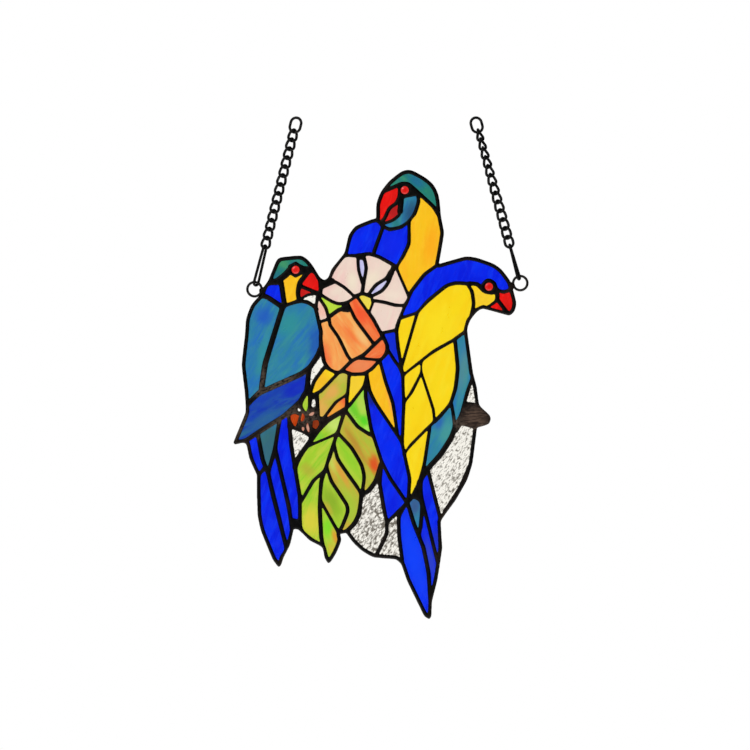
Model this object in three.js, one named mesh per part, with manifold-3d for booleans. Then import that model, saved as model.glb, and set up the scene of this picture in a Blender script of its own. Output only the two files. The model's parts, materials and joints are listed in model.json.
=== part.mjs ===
// A hanging stained glass panel: three parrots, a blossom, a bellflower and a leaf in coloured glass,
// joined by blackened solder, with two soldered rings, two long hooks and two chains.
// The panel stands in the XZ plane and faces -Y. The origin lies midway between the two hanging points.
import * as THREE from 'three';
import { mergeVertices } from 'three/addons/utils/BufferGeometryUtils.js';
import Module from 'manifold-3d';

const wasm = await Module();
wasm.setup();

// Driving dimensions, in millimetres
const GLASS_THICKNESS = 3;
const SOLDER_THICKNESS = 5;
const EDGE_BEAD = 2.6;
const FIT_GAP = 0.3;
const OWN_NODE_AREA = 190;
const EYE_RADIUS = 3;

const RING_RADIUS = 5.7;
const RING_WIRE = 1.8;
const CHAIN_WIRE = 2;
const LINK_COUNT = 13;
const LINK_PITCH = 7.4;
const LINK_WIDTH = 8.6;
const LINK_TWIST = Math.PI / 4;
const LINK_WELD = 0.3;
// How far each chain's links are turned about its line, at its top and at its bottom
const LINK_TURNS = { left: [Math.PI * 0.14, Math.PI * 0.14], right: [Math.PI / 3, 0] };
const HOOK_WIRE = 2;
const HOOK_WIDTH = 6.8;
const HOOK_TURNS = { left: Math.PI * 0.3, right: Math.PI * 0.42 };
const HOOK_TWIST = Math.PI * 0.06;
const END_LINK_WIDTH = 11;
const END_LINK_LENGTH = 14;
const HANG_HALF_SPAN = 71.2;

// How finely a curve is followed: steps between two points, and the bow that may be left out
const STEPS_PER_SPAN = 3;
const FLATNESS = 0.5;

// The drawing below is in millimetres, each point as [across, down] from the origin.
// The outer edge is a chain of smooth runs; each run starts where the one before it ends.
const OUTLINE = [
  // left bird, from its ring over the crown to the blossom
  [[-98.2, 135.5], [-95, 131.5], [-91.5, 122.5], [-85.5, 111.5], [-77, 110.3], [-68.3, 109.6], [-60.7, 114.7],
    [-54.8, 124.5], [-49.5, 129.2], [-46.2, 127], [-43, 119.7], [-35.5, 110.9], [-32.2, 105], [-29.7, 93.4],
    [-24.2, 86], [-15.1, 81.8], [-7.6, 79.6]],
  // top bird, beak and crown
  [[-7.4, 68], [-4, 58.6], [2.6, 50], [10.7, 43.4], [18, 40.9], [28, 45], [37.5, 52.5], [42.2, 62.5],
    [43, 74], [45.6, 86], [46.1, 94], [44, 105.5], [42, 116.3]],
  // right bird, hood to ring
  [[51.5, 113.4], [63, 110.4], [77, 112.4], [89.5, 118.3], [97, 126.2], [100.4, 132.5], [102, 138.7],
    [103.8, 146], [102.3, 154], [98, 156.9], [91, 155], [84, 152.8], [78, 151.7], [72.5, 154.3],
    [67, 161.5], [64.8, 169.5]],
  // its back and the clear pane beside it
  [[66.6, 180.3], [68.4, 199], [71.4, 209.5], [73.8, 224], [74.5, 228.8]],
  // end of the branch
  [[79.5, 233.6], [83.5, 239], [81.5, 244], [72.6, 246.8]],
  [[71.3, 258], [69, 275], [64.6, 288.8], [57.9, 301.2], [49.9, 312.8], [43.8, 321.6]],
  // tail of the right bird
  [[44.9, 338], [43.5, 354], [39.5, 375], [36.6, 386], [36.5, 396], [34.5, 400], [30.5, 397], [25.4, 386.7],
    [17.1, 369.4], [12.5, 356.5], [7.2, 352], [-9.8, 350.4], [-23.1, 341.9], [-31.8, 331]],
  [[-36.9, 331.8]],
  // tip of the leaf
  [[-36.2, 337.5], [-40, 347], [-46.2, 355.4], [-48.8, 351], [-51, 342.6]],
  [[-58.5, 338.7], [-66, 332.6], [-70, 328.4], [-74, 327.8], [-75.3, 333], [-77, 340.5]],
  // tail of the left bird
  [[-81, 347.5], [-83.7, 356], [-86, 358.3], [-88.5, 355.5], [-95.1, 342.1], [-101.4, 323.3], [-103.2, 305],
    [-102.5, 289], [-103.2, 284.5]],
  [[-109, 271.5], [-110.2, 264], [-112.5, 259.3], [-117.5, 259.2], [-120.4, 260.6], [-121.8, 258.6],
    [-117.3, 247.6], [-112, 233], [-112.7, 219], [-115.2, 196.5], [-113, 179.6], [-111.6, 160],
    [-107.8, 149.5], [-103.6, 143.8], [-99.7, 140.6], [-98.2, 135.5]],
];

// A solder line of a given width along a smooth path
const line = (width, ...path) => ({ width, path });

const LEFT_BIRD = [
  // brow, nape, cheek and beak
  line(5, [-96, 131], [-87.5, 130.2], [-82, 126.3], [-77, 121]),
  line(5, [-77, 119.5], [-72.3, 117], [-68.5, 119.5], [-63.5, 120.6], [-57.5, 121]),
  line(3, [-77.5, 122], [-72.3, 125.2], [-66.5, 122]),
  line(4, [-84, 130.5], [-82.7, 138.5], [-81, 149.5]),
  line(3.6, [-62, 122], [-66.5, 127.2], [-69.4, 132.5], [-70.2, 138.5], [-69.5, 145.5]),
  line(3.2, [-69.5, 133.4], [-63.5, 136.3], [-57.5, 138.8], [-51.5, 139.8]),
  line(2.6, [-69.5, 145], [-66, 142.3], [-61, 140.3], [-56, 139.5]),
  line(3.2, [-52.8, 128], [-52, 134], [-52.8, 140]),
  // shoulder, collar and breast
  line(3.6, [-102, 141], [-95, 142.5], [-88.5, 147.3], [-82.5, 150.3]),
  line(3.2, [-82.5, 150.3], [-76.5, 147.8], [-69.5, 145.6], [-63.5, 146.2], [-58, 149.2], [-55, 153]),
  line(2.8, [-54.6, 139.5], [-55.4, 146], [-56.3, 149.5], [-56, 153], [-54.6, 158.5], [-52.6, 165.5],
    [-52, 179], [-53.2, 186]),
  // wing
  line(4.2, [-82.5, 150.3], [-84.2, 157], [-89, 171.5], [-95.1, 190], [-98.4, 205], [-99.6, 217.8]),
  line(4, [-112.5, 230], [-105.4, 222.6], [-99.6, 218], [-83.4, 211.3], [-68.3, 204.2], [-60.5, 198.2],
    [-55.7, 191.5], [-52.5, 184]),
  line(4, [-61.5, 199], [-62.3, 208], [-63.3, 217], [-67.5, 224.5]),
  line(3.6, [-63.3, 217], [-67.3, 224.3], [-73.3, 230.6], [-87, 241.7], [-102, 250.3], [-112, 257.3],
    [-120, 259.5]),
  // tail feathers
  line(3.2, [-103, 250], [-101, 258.5], [-99.7, 268.2], [-96.6, 278], [-94.2, 284]),
  line(3, [-96.5, 278.5], [-100, 283.5], [-104, 286]),
  line(3.2, [-85, 240], [-86.8, 252], [-88.6, 264]),
  line(3.4, [-88.6, 264], [-91.3, 272.5], [-94.2, 283], [-92.9, 291], [-88.9, 305.7], [-84.9, 321],
    [-81.5, 335.3], [-79, 345]),
  line(3.2, [-88.6, 264], [-86.6, 272.7], [-83.8, 284.1], [-80.4, 296.6], [-77.8, 309.7], [-75.6, 322],
    [-75, 331]),
  line(3, [-78, 235], [-77.4, 248], [-75.9, 260], [-72.8, 276.5], [-71, 287], [-69.2, 299], [-68.7, 308],
    [-69.3, 316], [-67.5, 331]),
  line(6.5, [-75.5, 322.5], [-69, 324]),
];

const BLOSSOM = [
  line(2.6, [-35, 109.5], [-27, 109.8], [-19, 108.2], [-10.5, 108.3], [-3, 111.7], [5, 116], [9, 119.5]),
  line(2.6, [-22.5, 109], [-22.2, 118], [-20.3, 125.5], [-18.6, 131.5]),
  line(2.8, [-18, 108.5], [-16.2, 117], [-16.3, 123.5], [-18.3, 132], [-19, 139]),
  line(2.8, [6, 118], [1.8, 126.6], [-3.3, 129.8], [-8, 133], [-12.7, 138.7], [-14.5, 141.5]),
  line(2.8, [7, 118], [4.6, 124.5], [1.5, 131], [-3.5, 137.3], [-10, 141], [-14, 142]),
  line(4.6, [-21.6, 110.6], [-17.2, 110.6]),
  line(4.6, [4.4, 122.5], [0.6, 128.8]),
  line(2.4, [8, 118.5], [13.5, 132], [18.5, 142.5]),
  line(2.4, [-12, 145], [-4, 145.8], [4, 148.5], [15.5, 149.3]),
  line(2.2, [-50, 130.5], [-40.5, 130.3], [-33, 135], [-25, 142.3]),
  line(4.4, [-52.2, 134.2], [-47.5, 131.6], [-41.5, 129.4]),
  line(2.2, [-54.8, 139], [-48.6, 143.2], [-43, 146.1], [-37, 147.8], [-30.5, 146.4], [-24.5, 142.5]),
  line(3, [-25.5, 142.3], [-19, 139.8], [-12, 141.8]),
  line(2.6, [-23, 142], [-16.8, 150], [-10.3, 160], [-5.8, 167.5], [-3, 173.5]),
  line(2, [-12, 141.5], [-10.8, 147], [-13.5, 154.5]),
  line(2.4, [15.7, 148], [12.5, 155.5], [9.5, 163], [8, 169.5]),
  line(2.4, [8.8, 168.8], [3, 170.2], [-4.5, 171.5]),
  line(2.3, [-55.4, 140.6], [-51.6, 145.4], [-48.3, 151], [-45.5, 159], [-44.6, 165], [-39.5, 172],
    [-35.5, 180], [-32, 187.5], [-28, 193]),
  line(2.2, [-54, 162.8], [-46, 160]),
  line(3, [-46.5, 159], [-40.5, 154.2], [-34.5, 151.8], [-29.3, 149.8]),
  line(5.6, [-34.6, 151.2], [-29.6, 151.8]),
];

const BELLFLOWER = [
  line(2.4, [-30.7, 147.5], [-26.3, 157], [-20, 166.5], [-13, 175], [-9.3, 181]),
  line(2.8, [-52.3, 176], [-51, 188], [-48.7, 196], [-45.3, 200.3]),
  line(2.6, [-49.2, 198], [-44, 201.3], [-38.5, 203], [-34, 201]),
  line(2.8, [-37, 202.8], [-28, 194], [-20.5, 190.5], [-12.5, 184], [-3, 174.5]),
  line(2.8, [-3.2, 171.5], [-0.2, 177.5], [1.2, 184], [-1, 189.5], [-5.5, 193.7]),
  line(2.4, [-22.5, 191.3], [-15, 191.5], [-5, 192.8]),
  line(2.6, [-35.3, 201.5], [-27, 204.2], [-18, 203.8], [-11.5, 200], [-5.3, 193.3]),
  // sepals below the bell
  line(2.6, [-48.7, 198], [-55.5, 206.5], [-59.5, 215], [-60.5, 222]),
  line(2.6, [-37.8, 203], [-45, 211], [-52, 217.5], [-60.8, 222]),
  line(2.6, [-55, 219.5], [-55.2, 228], [-54, 239.5]),
  line(2.6, [-29.3, 203.5], [-30.2, 212], [-31.2, 220], [-31, 228], [-33, 235]),
  line(2.2, [-31, 220], [-38, 224.7], [-44, 231], [-50, 239.5]),
  line(2.4, [-14.8, 202], [-16.4, 210.5], [-18.8, 216.2], [-23.4, 222.2], [-28.6, 228.4], [-33, 233]),
  line(2.4, [-15.6, 203], [-14.5, 211], [-11.8, 220.5], [-5.8, 231], [1.5, 241.8], [8.5, 251.5], [13, 260]),
  line(2.4, [-5, 193.3], [-1.8, 206], [3, 219], [6.5, 232], [9, 252]),
  line(4, [-62.7, 214], [-61, 222], [-60.5, 237]),
  line(2.6, [-61, 238], [-52, 239.2], [-46, 240.5]),
];

const LEAF = [
  line(4, [-32.5, 232.5], [-46, 240.5], [-54, 248.5], [-62, 259.5], [-69.5, 270.5], [-73, 280]),
  // midrib and side veins
  line(3, [-33, 233], [-36, 243], [-39.3, 252.5], [-42.3, 263], [-46.3, 273], [-49, 281.5], [-51.7, 290],
    [-52.8, 300], [-53, 311], [-52.7, 323], [-51.8, 334], [-49.5, 347]),
  line(2.4, [-39.5, 251.8], [-48, 255.5], [-57, 259], [-63, 262]),
  line(2.6, [-49.3, 281.5], [-56, 287], [-62.5, 296], [-68.3, 306.5]),
  line(2.6, [-32.5, 233], [-28.6, 238], [-24.3, 244.2], [-19.4, 248.7], [-10.3, 253.8]),
  line(2.6, [-38.7, 251], [-30, 260], [-23, 270], [-18.5, 280], [-17.5, 289.5], [-19.5, 301.5]),
  line(2.6, [-41.5, 260], [-38.5, 272], [-32.5, 281.5], [-25.5, 290.5], [-19.7, 301]),
  line(2.6, [-47.5, 278], [-43.5, 290], [-37.5, 299], [-31.8, 308], [-30.8, 314.5], [-33.5, 322.5],
    [-38.5, 332]),
  line(2.6, [-52.8, 304.5], [-48.5, 312.5], [-43, 321.5], [-37, 332.5]),
  line(3.4, [-19.5, 300], [-20.7, 312], [-23.5, 320.5], [-29, 328], [-36, 332.5]),
  line(3.5, [-3.6, 275.5], [-8, 289], [-13.5, 297], [-20, 301.5]),
  // branch below the left wing
  line(3, [-78.5, 245.3], [-71.5, 247.3], [-66, 249.8], [-60, 254]),
];

const TOP_BIRD = [
  line(2.8, [-3, 58.5], [5, 54.7], [12.5, 52], [19, 53], [24.5, 58.5], [31, 64], [37.5, 69.8], [43.5, 79]),
  line(3, [10.8, 53], [10.8, 62], [8, 67.7], [3, 71.7], [0.5, 77.5], [-4, 83]),
  line(4.6, [12.5, 58], [12, 67], [11, 75]),
  line(2.4, [11, 72], [10.3, 76.8], [5, 81], [-3.5, 84]),
  line(3.2, [12.5, 62], [19.5, 60.8], [26, 59.5]),
  line(2.6, [25.3, 58.8], [26, 66], [23, 75.5], [18.5, 81.8], [12, 86.4], [3, 88.2], [-3.8, 85.5]),
  line(2.6, [-8.5, 79.8], [-4.5, 83], [-2.5, 87]),
  line(2.8, [-2.3, 86.3], [-5.5, 95.5], [-9, 104], [-10, 109.5]),
  line(2.6, [18.5, 81.3], [18.3, 90], [18.7, 97], [16.5, 104.5], [12.3, 112], [8, 120]),
  // tail, behind the flowers
  line(2.4, [1.2, 184], [4.7, 190.4], [9.5, 196.2], [12.8, 203.5]),
  line(2.6, [-16, 211], [-16.3, 222], [-13.6, 240], [-10.8, 252], [-6.8, 264], [-3, 275.5]),
  line(2.6, [-3.3, 274], [1.5, 284.5], [8, 294], [15, 304], [17.3, 309]),
  line(2.8, [-3.6, 276], [-5, 288], [-4, 300], [-2, 311], [1, 323]),
  line(2.8, [17, 307], [9, 315.3], [0.8, 323]),
];

const RIGHT_BIRD = [
  // hood and face
  line(2.6, [15.5, 149], [18.3, 141.5], [25.5, 130.5], [33.5, 122], [43, 115.5]),
  line(2.4, [11, 159.6], [17, 157.3], [25.3, 154.8]),
  line(2.6, [25, 155], [31, 147.8], [38.5, 141.5], [45.5, 135.3], [53, 131.8], [61, 131.3], [67, 131.8]),
  line(2.6, [65, 131.5], [68.8, 138.5], [70, 146], [69.5, 153], [67.5, 160]),
  line(3, [66, 131.6], [73, 132.3], [77, 136.5], [82, 138.7], [88, 138.5]),
  line(3, [76, 135], [78.5, 131.3], [82.3, 129.5], [86.2, 131.5], [89, 137]),
  line(2.6, [88, 136.5], [94, 138.3], [102, 136]),
  line(3.2, [88.3, 136], [89.3, 140], [88.5, 146]),
  line(3.4, [88.5, 144], [93.5, 150.3], [98.3, 157]),
  line(2.4, [78.5, 152.3], [85, 148.5], [89, 144.5]),
  // wing and body
  line(2.4, [65.5, 168.5], [57, 175.3], [48, 180], [38, 186], [28.5, 193.3], [20, 200], [12.5, 206]),
  line(2.4, [25, 155], [21.5, 167], [18, 178], [15, 189], [12.5, 198]),
  line(2.8, [55, 175.5], [56.2, 184], [57.3, 199], [55.6, 215], [51.5, 228], [45, 236], [38.2, 242.5]),
  line(2, [28.5, 193], [28.2, 203], [31.5, 212], [35.5, 224], [38.3, 235], [39, 242.5]),
  line(2.2, [28.2, 203.5], [23.5, 213.5], [18.5, 221.5], [13.5, 228.5]),
  line(2.2, [39.7, 241], [32, 249], [24.5, 255.5], [18.8, 262.3], [14, 269]),
  line(2.4, [35, 246.5], [33.6, 259], [31.7, 269.5], [30, 279], [26.8, 290], [20.5, 303]),
  line(2.6, [10.6, 160.5], [8.4, 170], [9.2, 180], [11.2, 190], [13, 200], [14.2, 214], [14.3, 227],
    [13.6, 238], [13.2, 249], [12.9, 259], [15.2, 269], [17.7, 280], [19, 291], [18, 304]),
  line(2.6, [70.5, 203], [66.2, 214], [63.8, 225], [60.5, 235.5], [56.5, 244]),
  line(2.4, [52.3, 228], [54, 236], [54.3, 246]),
  line(4, [56.5, 243], [54.3, 250], [50.3, 258.5], [43.5, 268.5], [33, 280]),
  line(2.6, [62.5, 227.3], [68, 228.5], [75.5, 229]),
  line(3, [55.5, 250], [60.5, 243.3], [66, 245.3], [74, 246.8]),
  // tail feathers and the clear panes beside them
  line(3, [16.8, 306], [20.5, 319], [25.8, 331.5], [30, 343], [33.3, 358], [35, 374], [36.3, 396]),
  line(2.8, [20.5, 301], [27.5, 305], [29, 314], [28.3, 322], [26.5, 333]),
  line(3.4, [16.5, 307], [21.5, 301.5], [29, 301]),
  line(2.8, [28, 287], [27.8, 299], [30, 310], [33, 321], [36.5, 333], [39.5, 346], [42.5, 361]),
  line(4, [26.3, 291.5], [30, 284.5], [34, 279]),
  line(2.8, [33, 279], [36.7, 294], [40.5, 307], [44, 321.5]),
  line(3, [65.9, 280.6], [63.2, 287.3], [56.3, 300], [48.4, 311.5], [46, 317.5]),
  line(2.8, [0.8, 321.5], [0.8, 329.5], [-1.5, 337], [-8.5, 350]),
  line(2.8, [15.5, 308.5], [10.3, 318.5], [10.3, 330], [11.4, 342], [13.5, 358]),
];

// Small pieces set straight into solder, each as a smooth closed loop
const CHIPS = {
  branch_amber_wide: [[-76.3, 237.2], [-73, 236.2], [-69.6, 237.4], [-71, 242.5], [-72.8, 246], [-75, 243]],
  branch_amber_slip: [[-66.8, 235.4], [-65.1, 238.5], [-66.5, 241.8], [-68.2, 241.5]],
  branch_amber_fleck: [[-61.8, 236.9], [-60, 234.9], [-57.2, 234.7], [-59, 237.4]],
  branch_amber_reed: [[-62.8, 243.2], [-61.3, 247], [-61.7, 250.7], [-63.5, 247]],
  branch_amber_bead: [[-67.4, 246.9], [-65.8, 246.3], [-65.3, 248.8], [-66.8, 249.6]],
  branch_amber_knot: [[-58.3, 241.5], [-54.5, 240.9], [-53.6, 244], [-56, 248], [-58.6, 246.5]],
  clear_chip: [[-58.9, 224.8], [-57.2, 224.2], [-56.3, 226.6], [-57.5, 231], [-59.4, 229.3]],
  clear_fleck: [[-70.4, 231.4], [-68, 233.3], [-69.9, 233.9]],
  leaf_sliver: [[-62.9, 221.5], [-62.3, 226], [-62.9, 231], [-64, 233.8], [-65.2, 231.5], [-66.6, 228.6],
    [-64.8, 224.8]],
};
const EYES = [[-72.3, 120.7], [15, 57], [82.3, 134.2]];

// Centres of the two soldered rings
const RINGS = { left: [-105.2, 136.2], right: [107.4, 131.3] };

// Glass colours
const GLASS = {
  cobalt: 0x0a23f5, teal: 0x2d829b, sea: 0x2d8c6e, navy: 0x1e46be, yellow: 0xf8d814, amber: 0xfac41e,
  red: 0xeb1914, petal: 0xf5e1d2, lavender: 0xc8c3eb, orange: 0xfaa050, coral: 0xfa6e3c, olive: 0xd7b950,
  leaf: 0xa5d232, lime: 0x6ed22d, clear: 0xebe8e1,
};

// Every piece between solder lines: its glass and a point inside it
const PIECES = {
  left_bird_crown: ['sea', -84, 118], left_bird_neck: ['cobalt', -89, 138],
  left_bird_cheek: ['amber', -76, 137],
  left_bird_upper_beak: ['red', -58.5, 130], left_bird_lower_beak: ['red', -67, 139],
  left_bird_outer_wing: ['teal', -104, 175], left_bird_inner_wing: ['teal', -72, 175],
  left_bird_wing_band: ['navy', -90, 226], left_bird_short_feather: ['cobalt', -105.5, 265],
  left_bird_tail_wedge: ['teal', -94, 258], left_bird_tail_outer: ['cobalt', -94, 320],
  left_bird_tail_middle: ['cobalt', -86, 300], left_bird_tail_inner: ['cobalt', -81, 270],
  blossom_top_left: ['petal', -32, 122], blossom_top_right: ['petal', -8, 121],
  blossom_right: ['petal', 8, 138],
  blossom_bottom: ['petal', 0, 158], blossom_left: ['petal', -40, 139], blossom_bud: ['petal', -51.3, 153.5],
  blossom_fold_top: ['lavender', -19.3, 117], blossom_fold_right: ['lavender', -4, 134.3],
  blossom_heart: ['yellow', -15, 146], blossom_leaf: ['leaf', -44.5, 150],
  bell_middle: ['orange', -30, 172], bell_right: ['coral', -17, 160], bell_left: ['orange', -44, 182],
  bell_lip_right: ['coral', -4.5, 185], bell_lip_left: ['coral', -20, 197.5],
  sepal_left: ['yellow', -52, 210],
  sepal_wide: ['olive', -46, 220], sepal_bud: ['coral', -38, 229.5], sepal_middle: ['yellow', -24, 212],
  sepal_right: ['amber', -4, 215], bell_frond: ['lime', -21, 235],
  leaf_top_left: ['leaf', -48, 249], leaf_left: ['leaf', -58, 275], leaf_lower_left: ['leaf', -60, 315],
  leaf_tip: ['leaf', -46, 338], leaf_lower_middle: ['leaf', -44, 305], leaf_middle: ['olive', -36, 293],
  leaf_upper_middle: ['leaf', -31, 272], leaf_right: ['olive', -16, 268],
  top_bird_crown: ['sea', 25, 50], top_bird_upper_beak: ['red', 1, 64],
  top_bird_lower_beak: ['red', 6.5, 74.5],
  top_bird_cheek: ['teal', 19, 72], top_bird_back: ['amber', 30, 95],
  top_bird_outer_wing: ['cobalt', -18, 96],
  top_bird_inner_wing: ['cobalt', 5, 98], top_bird_tail_root: ['cobalt', 5, 180],
  top_bird_tail_right: ['cobalt', 7, 210],
  top_bird_tail_middle: ['cobalt', 2, 262], top_bird_tail_left: ['cobalt', 1.5, 303],
  right_bird_hood: ['cobalt', 55, 122], right_bird_face: ['yellow', 78, 145],
  right_bird_upper_beak: ['red', 98, 145],
  right_bird_lower_beak: ['red', 87.5, 150.8], right_bird_wing: ['yellow', 45, 155],
  right_bird_shoulder: ['yellow', 14, 170], right_bird_flank: ['yellow', 45, 210],
  right_bird_breast: ['yellow', 20, 210],
  right_bird_belly: ['yellow', 27, 235], right_bird_rump: ['yellow', 25, 270],
  right_bird_wing_tip: ['teal', 62, 200],
  right_bird_thigh: ['teal', 44, 254], right_bird_tail_long: ['cobalt', 20, 345],
  right_bird_tail_short: ['teal', 24, 312],
  right_bird_tail_middle: ['cobalt', 34, 337], right_bird_tail_right: ['cobalt', 36, 315],
  clear_by_beak: ['clear', -58.8, 144], clear_by_bell: ['clear', -56, 200],
  clear_by_tail: ['clear', -72, 257],
  clear_lower_left: ['clear', -12, 325], clear_lower_middle: ['clear', 5, 338],
  clear_right: ['clear', 55, 285],
  clear_upper_right: ['clear', 69.3, 221],
};

// A point of the drawing in the plane of the panel
const at = ([across, down]) => new THREE.Vector3(across, -down, 0);

// A smooth path through points, with the steps that hardly bow left out
function smooth(path, closed = false) {
  const points = path.map(at);
  if (points.length === 2) {
    return points;
  }
  const curve = new THREE.CatmullRomCurve3(points, closed, 'centripetal');
  const fine = curve.getPoints(STEPS_PER_SPAN * (closed ? points.length : points.length - 1));
  const kept = [fine[0]];
  let start = 0;
  for (let end = 2; end < fine.length; end += 1) {
    const chord = new THREE.Line3(fine[start], fine[end]);
    const bow = (p) => p.distanceTo(chord.closestPointToPoint(p, true, new THREE.Vector3()));
    if (Math.max(...fine.slice(start + 1, end).map(bow)) > FLATNESS) {
      start = end - 1;
      kept.push(fine[start]);
    }
  }
  if (!closed) {
    kept.push(fine.at(-1));
  }
  return kept;
}

// A strip of even width along a path, as one small outline per step and one at each end, which may bulge
function strip(path, width, bulge) {
  const half = width / 2;
  const headings = path.slice(1).map((p, i) => p.clone().sub(path[i]).normalize());
  const left = [];
  const right = [];
  path.forEach((p, i) => {
    const before = headings[Math.max(i - 1, 0)];
    const after = headings[Math.min(i, headings.length - 1)];
    const along = before.clone().add(after).normalize();
    const reach = half / Math.max(along.dot(after), 0.5);
    const side = new THREE.Vector3(-along.y, along.x, 0).multiplyScalar(reach);
    left.push(p.clone().add(side));
    right.push(p.clone().sub(side));
  });
  // In a bend tighter than the strip, the inner side of a step shrinks to a point
  const flank = (a, b, heading) => (b.clone().sub(a).dot(heading) > 1e-3 ? [a, b] : [a.clone().lerp(b, 0.5)]);
  const steps = headings.map((heading, i) => [
    ...flank(left[i], left[i + 1], heading), ...flank(right[i], right[i + 1], heading).reverse(),
  ]);
  const cap = (centre, heading) => [[0, 1], [0.8, 0.6], [0.8, -0.6], [0, -1]].map(([ahead, aside]) => {
    const side = new THREE.Vector3(-heading.y, heading.x, 0).multiplyScalar(aside * half);
    return centre.clone().add(side).addScaledVector(heading, ahead * half * bulge);
  });
  return [...steps, cap(path.at(-1), headings.at(-1)), cap(path[0], headings[0].clone().negate())];
}

// A geometry as a closed body for joining and cutting
function body(geometry) {
  const bare = geometry.clone();
  bare.deleteAttribute('normal');
  bare.deleteAttribute('uv');
  const welded = mergeVertices(bare, 1e-4);
  return new wasm.Manifold(new wasm.Mesh({
    numProp: 3,
    vertProperties: new Float32Array(welded.attributes.position.array),
    triVerts: new Uint32Array(welded.index.array),
  }));
}

// An upright plate of a given thickness with a given outline, centred on the plane of the panel
function plate(outline, thickness) {
  const shape = new THREE.Shape(outline.map((p) => new THREE.Vector2(p.x, p.y)));
  const geometry = new THREE.ExtrudeGeometry(shape, { depth: thickness, bevelEnabled: false });
  geometry.rotateX(Math.PI / 2);
  geometry.translate(0, thickness / 2, 0);
  return body(geometry);
}

// A ring of wire, drawn out along Z to a given length, then twisted about Z
function loop({ width, length, wire, sides = 4, steps = 8, twist = 0 }) {
  const radius = (width - wire) / 2;
  const stretch = (length - width) / 2;
  const geometry = new THREE.TorusGeometry(radius / Math.cos(Math.PI / steps), wire / 2, sides, steps);
  geometry.rotateZ(Math.PI / steps);
  geometry.rotateX(Math.PI / 2);
  const place = geometry.attributes.position;
  const point = new THREE.Vector3();
  for (let i = 0; i < place.count; i += 1) {
    point.fromBufferAttribute(place, i);
    point.z += Math.sign(point.z) * stretch;
    point.applyAxisAngle(new THREE.Vector3(0, 0, 1), twist * point.z / (length / 2));
    place.setXYZ(i, point.x, point.y, point.z);
  }
  return geometry;
}

const panel = new THREE.Group();
panel.name = 'stained_glass_panel';

function add(name, manifold, settings) {
  const mesh = manifold.getMesh();
  const geometry = new THREE.BufferGeometry();
  geometry.setAttribute('position', new THREE.BufferAttribute(new Float32Array(mesh.vertProperties), 3));
  geometry.setIndex(new THREE.BufferAttribute(new Uint32Array(mesh.triVerts), 1));
  geometry.computeVertexNormals();
  const part = new THREE.Mesh(geometry, new THREE.MeshStandardMaterial(settings));
  part.name = name;
  panel.add(part);
}

// True where a body, seen from the front, covers a point of the drawing
function covers(manifold, across, down) {
  const { min, max } = manifold.boundingBox();
  if (across < min[0] || across > max[0] || -down < min[2] || -down > max[2]) {
    return false;
  }
  const { vertProperties: v, triVerts: t } = manifold.getMesh();
  const corner = (i) => new THREE.Vector3(v[3 * i], v[3 * i + 2], 0);
  const spot = at([across, down]);
  for (let i = 0; i < t.length; i += 3) {
    const triangle = new THREE.Triangle(corner(t[i]), corner(t[i + 1]), corner(t[i + 2]));
    if (triangle.getArea() > 1e-6 && triangle.containsPoint(spot)) {
      return true;
    }
  }
  return false;
}

// The outline as smooth runs, and the whole sheet inside it
const runs = OUTLINE.map((run, i) => smooth([OUTLINE.at(i - 1).at(-1), ...run]));
const edge = runs.flatMap((run) => run.slice(1));
const sheet = plate(edge, SOLDER_THICKNESS);
const glassSheet = plate(edge, GLASS_THICKNESS);

// All solder lines as one body, each line widened by a margin on both sides
const lines = [...LEFT_BIRD, ...BLOSSOM, ...BELLFLOWER, ...LEAF, ...TOP_BIRD, ...RIGHT_BIRD];
function seams(margin) {
  const border = runs.flatMap((run) => strip(run, 2 * (EDGE_BEAD + margin), 1));
  const inner = lines.flatMap(({ width, path }) => strip(smooth(path), width + 2 * margin, 0.3));
  return wasm.Manifold.union([...border, ...inner].map((outline) => plate(outline, 2 * SOLDER_THICKNESS)));
}

// Each opening between the lines that holds a piece; what no piece fills stays solder
const openings = sheet.subtract(seams(0)).decompose();
const inserts = glassSheet.subtract(seams(FIT_GAP)).decompose();
const loose = [];
const pockets = [];
for (const [name, [glass, across, down]] of Object.entries(PIECES)) {
  const holds = (part) => covers(part, across, down);
  const opening = openings.find(holds);
  if (opening.volume() / SOLDER_THICKNESS > OWN_NODE_AREA) {
    loose.push(opening);
    add(name, inserts.find(holds), { color: GLASS[glass], roughness: 0.1, transparent: true, opacity: 0.9 });
  } else {
    pockets.push(opening);
  }
}
for (const chip of Object.values(CHIPS)) {
  pockets.push(plate(smooth(chip, true), SOLDER_THICKNESS));
}
for (const eye of EYES) {
  const disc = new THREE.EllipseCurve(eye[0], -eye[1], EYE_RADIUS, EYE_RADIUS).getPoints(12).slice(1);
  pockets.push(plate(disc, SOLDER_THICKNESS));
}

// Leadwork: the sheet without the openings. Pieces too small for a node of their own stay in it,
// let in to glass depth.
const leadwork = sheet
  .subtract(wasm.Manifold.union(loose))
  .subtract(wasm.Manifold.union(pockets).subtract(glassSheet));
add('leadwork', leadwork, { color: 0x16120f, metalness: 0.6, roughness: 0.45 });

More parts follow.
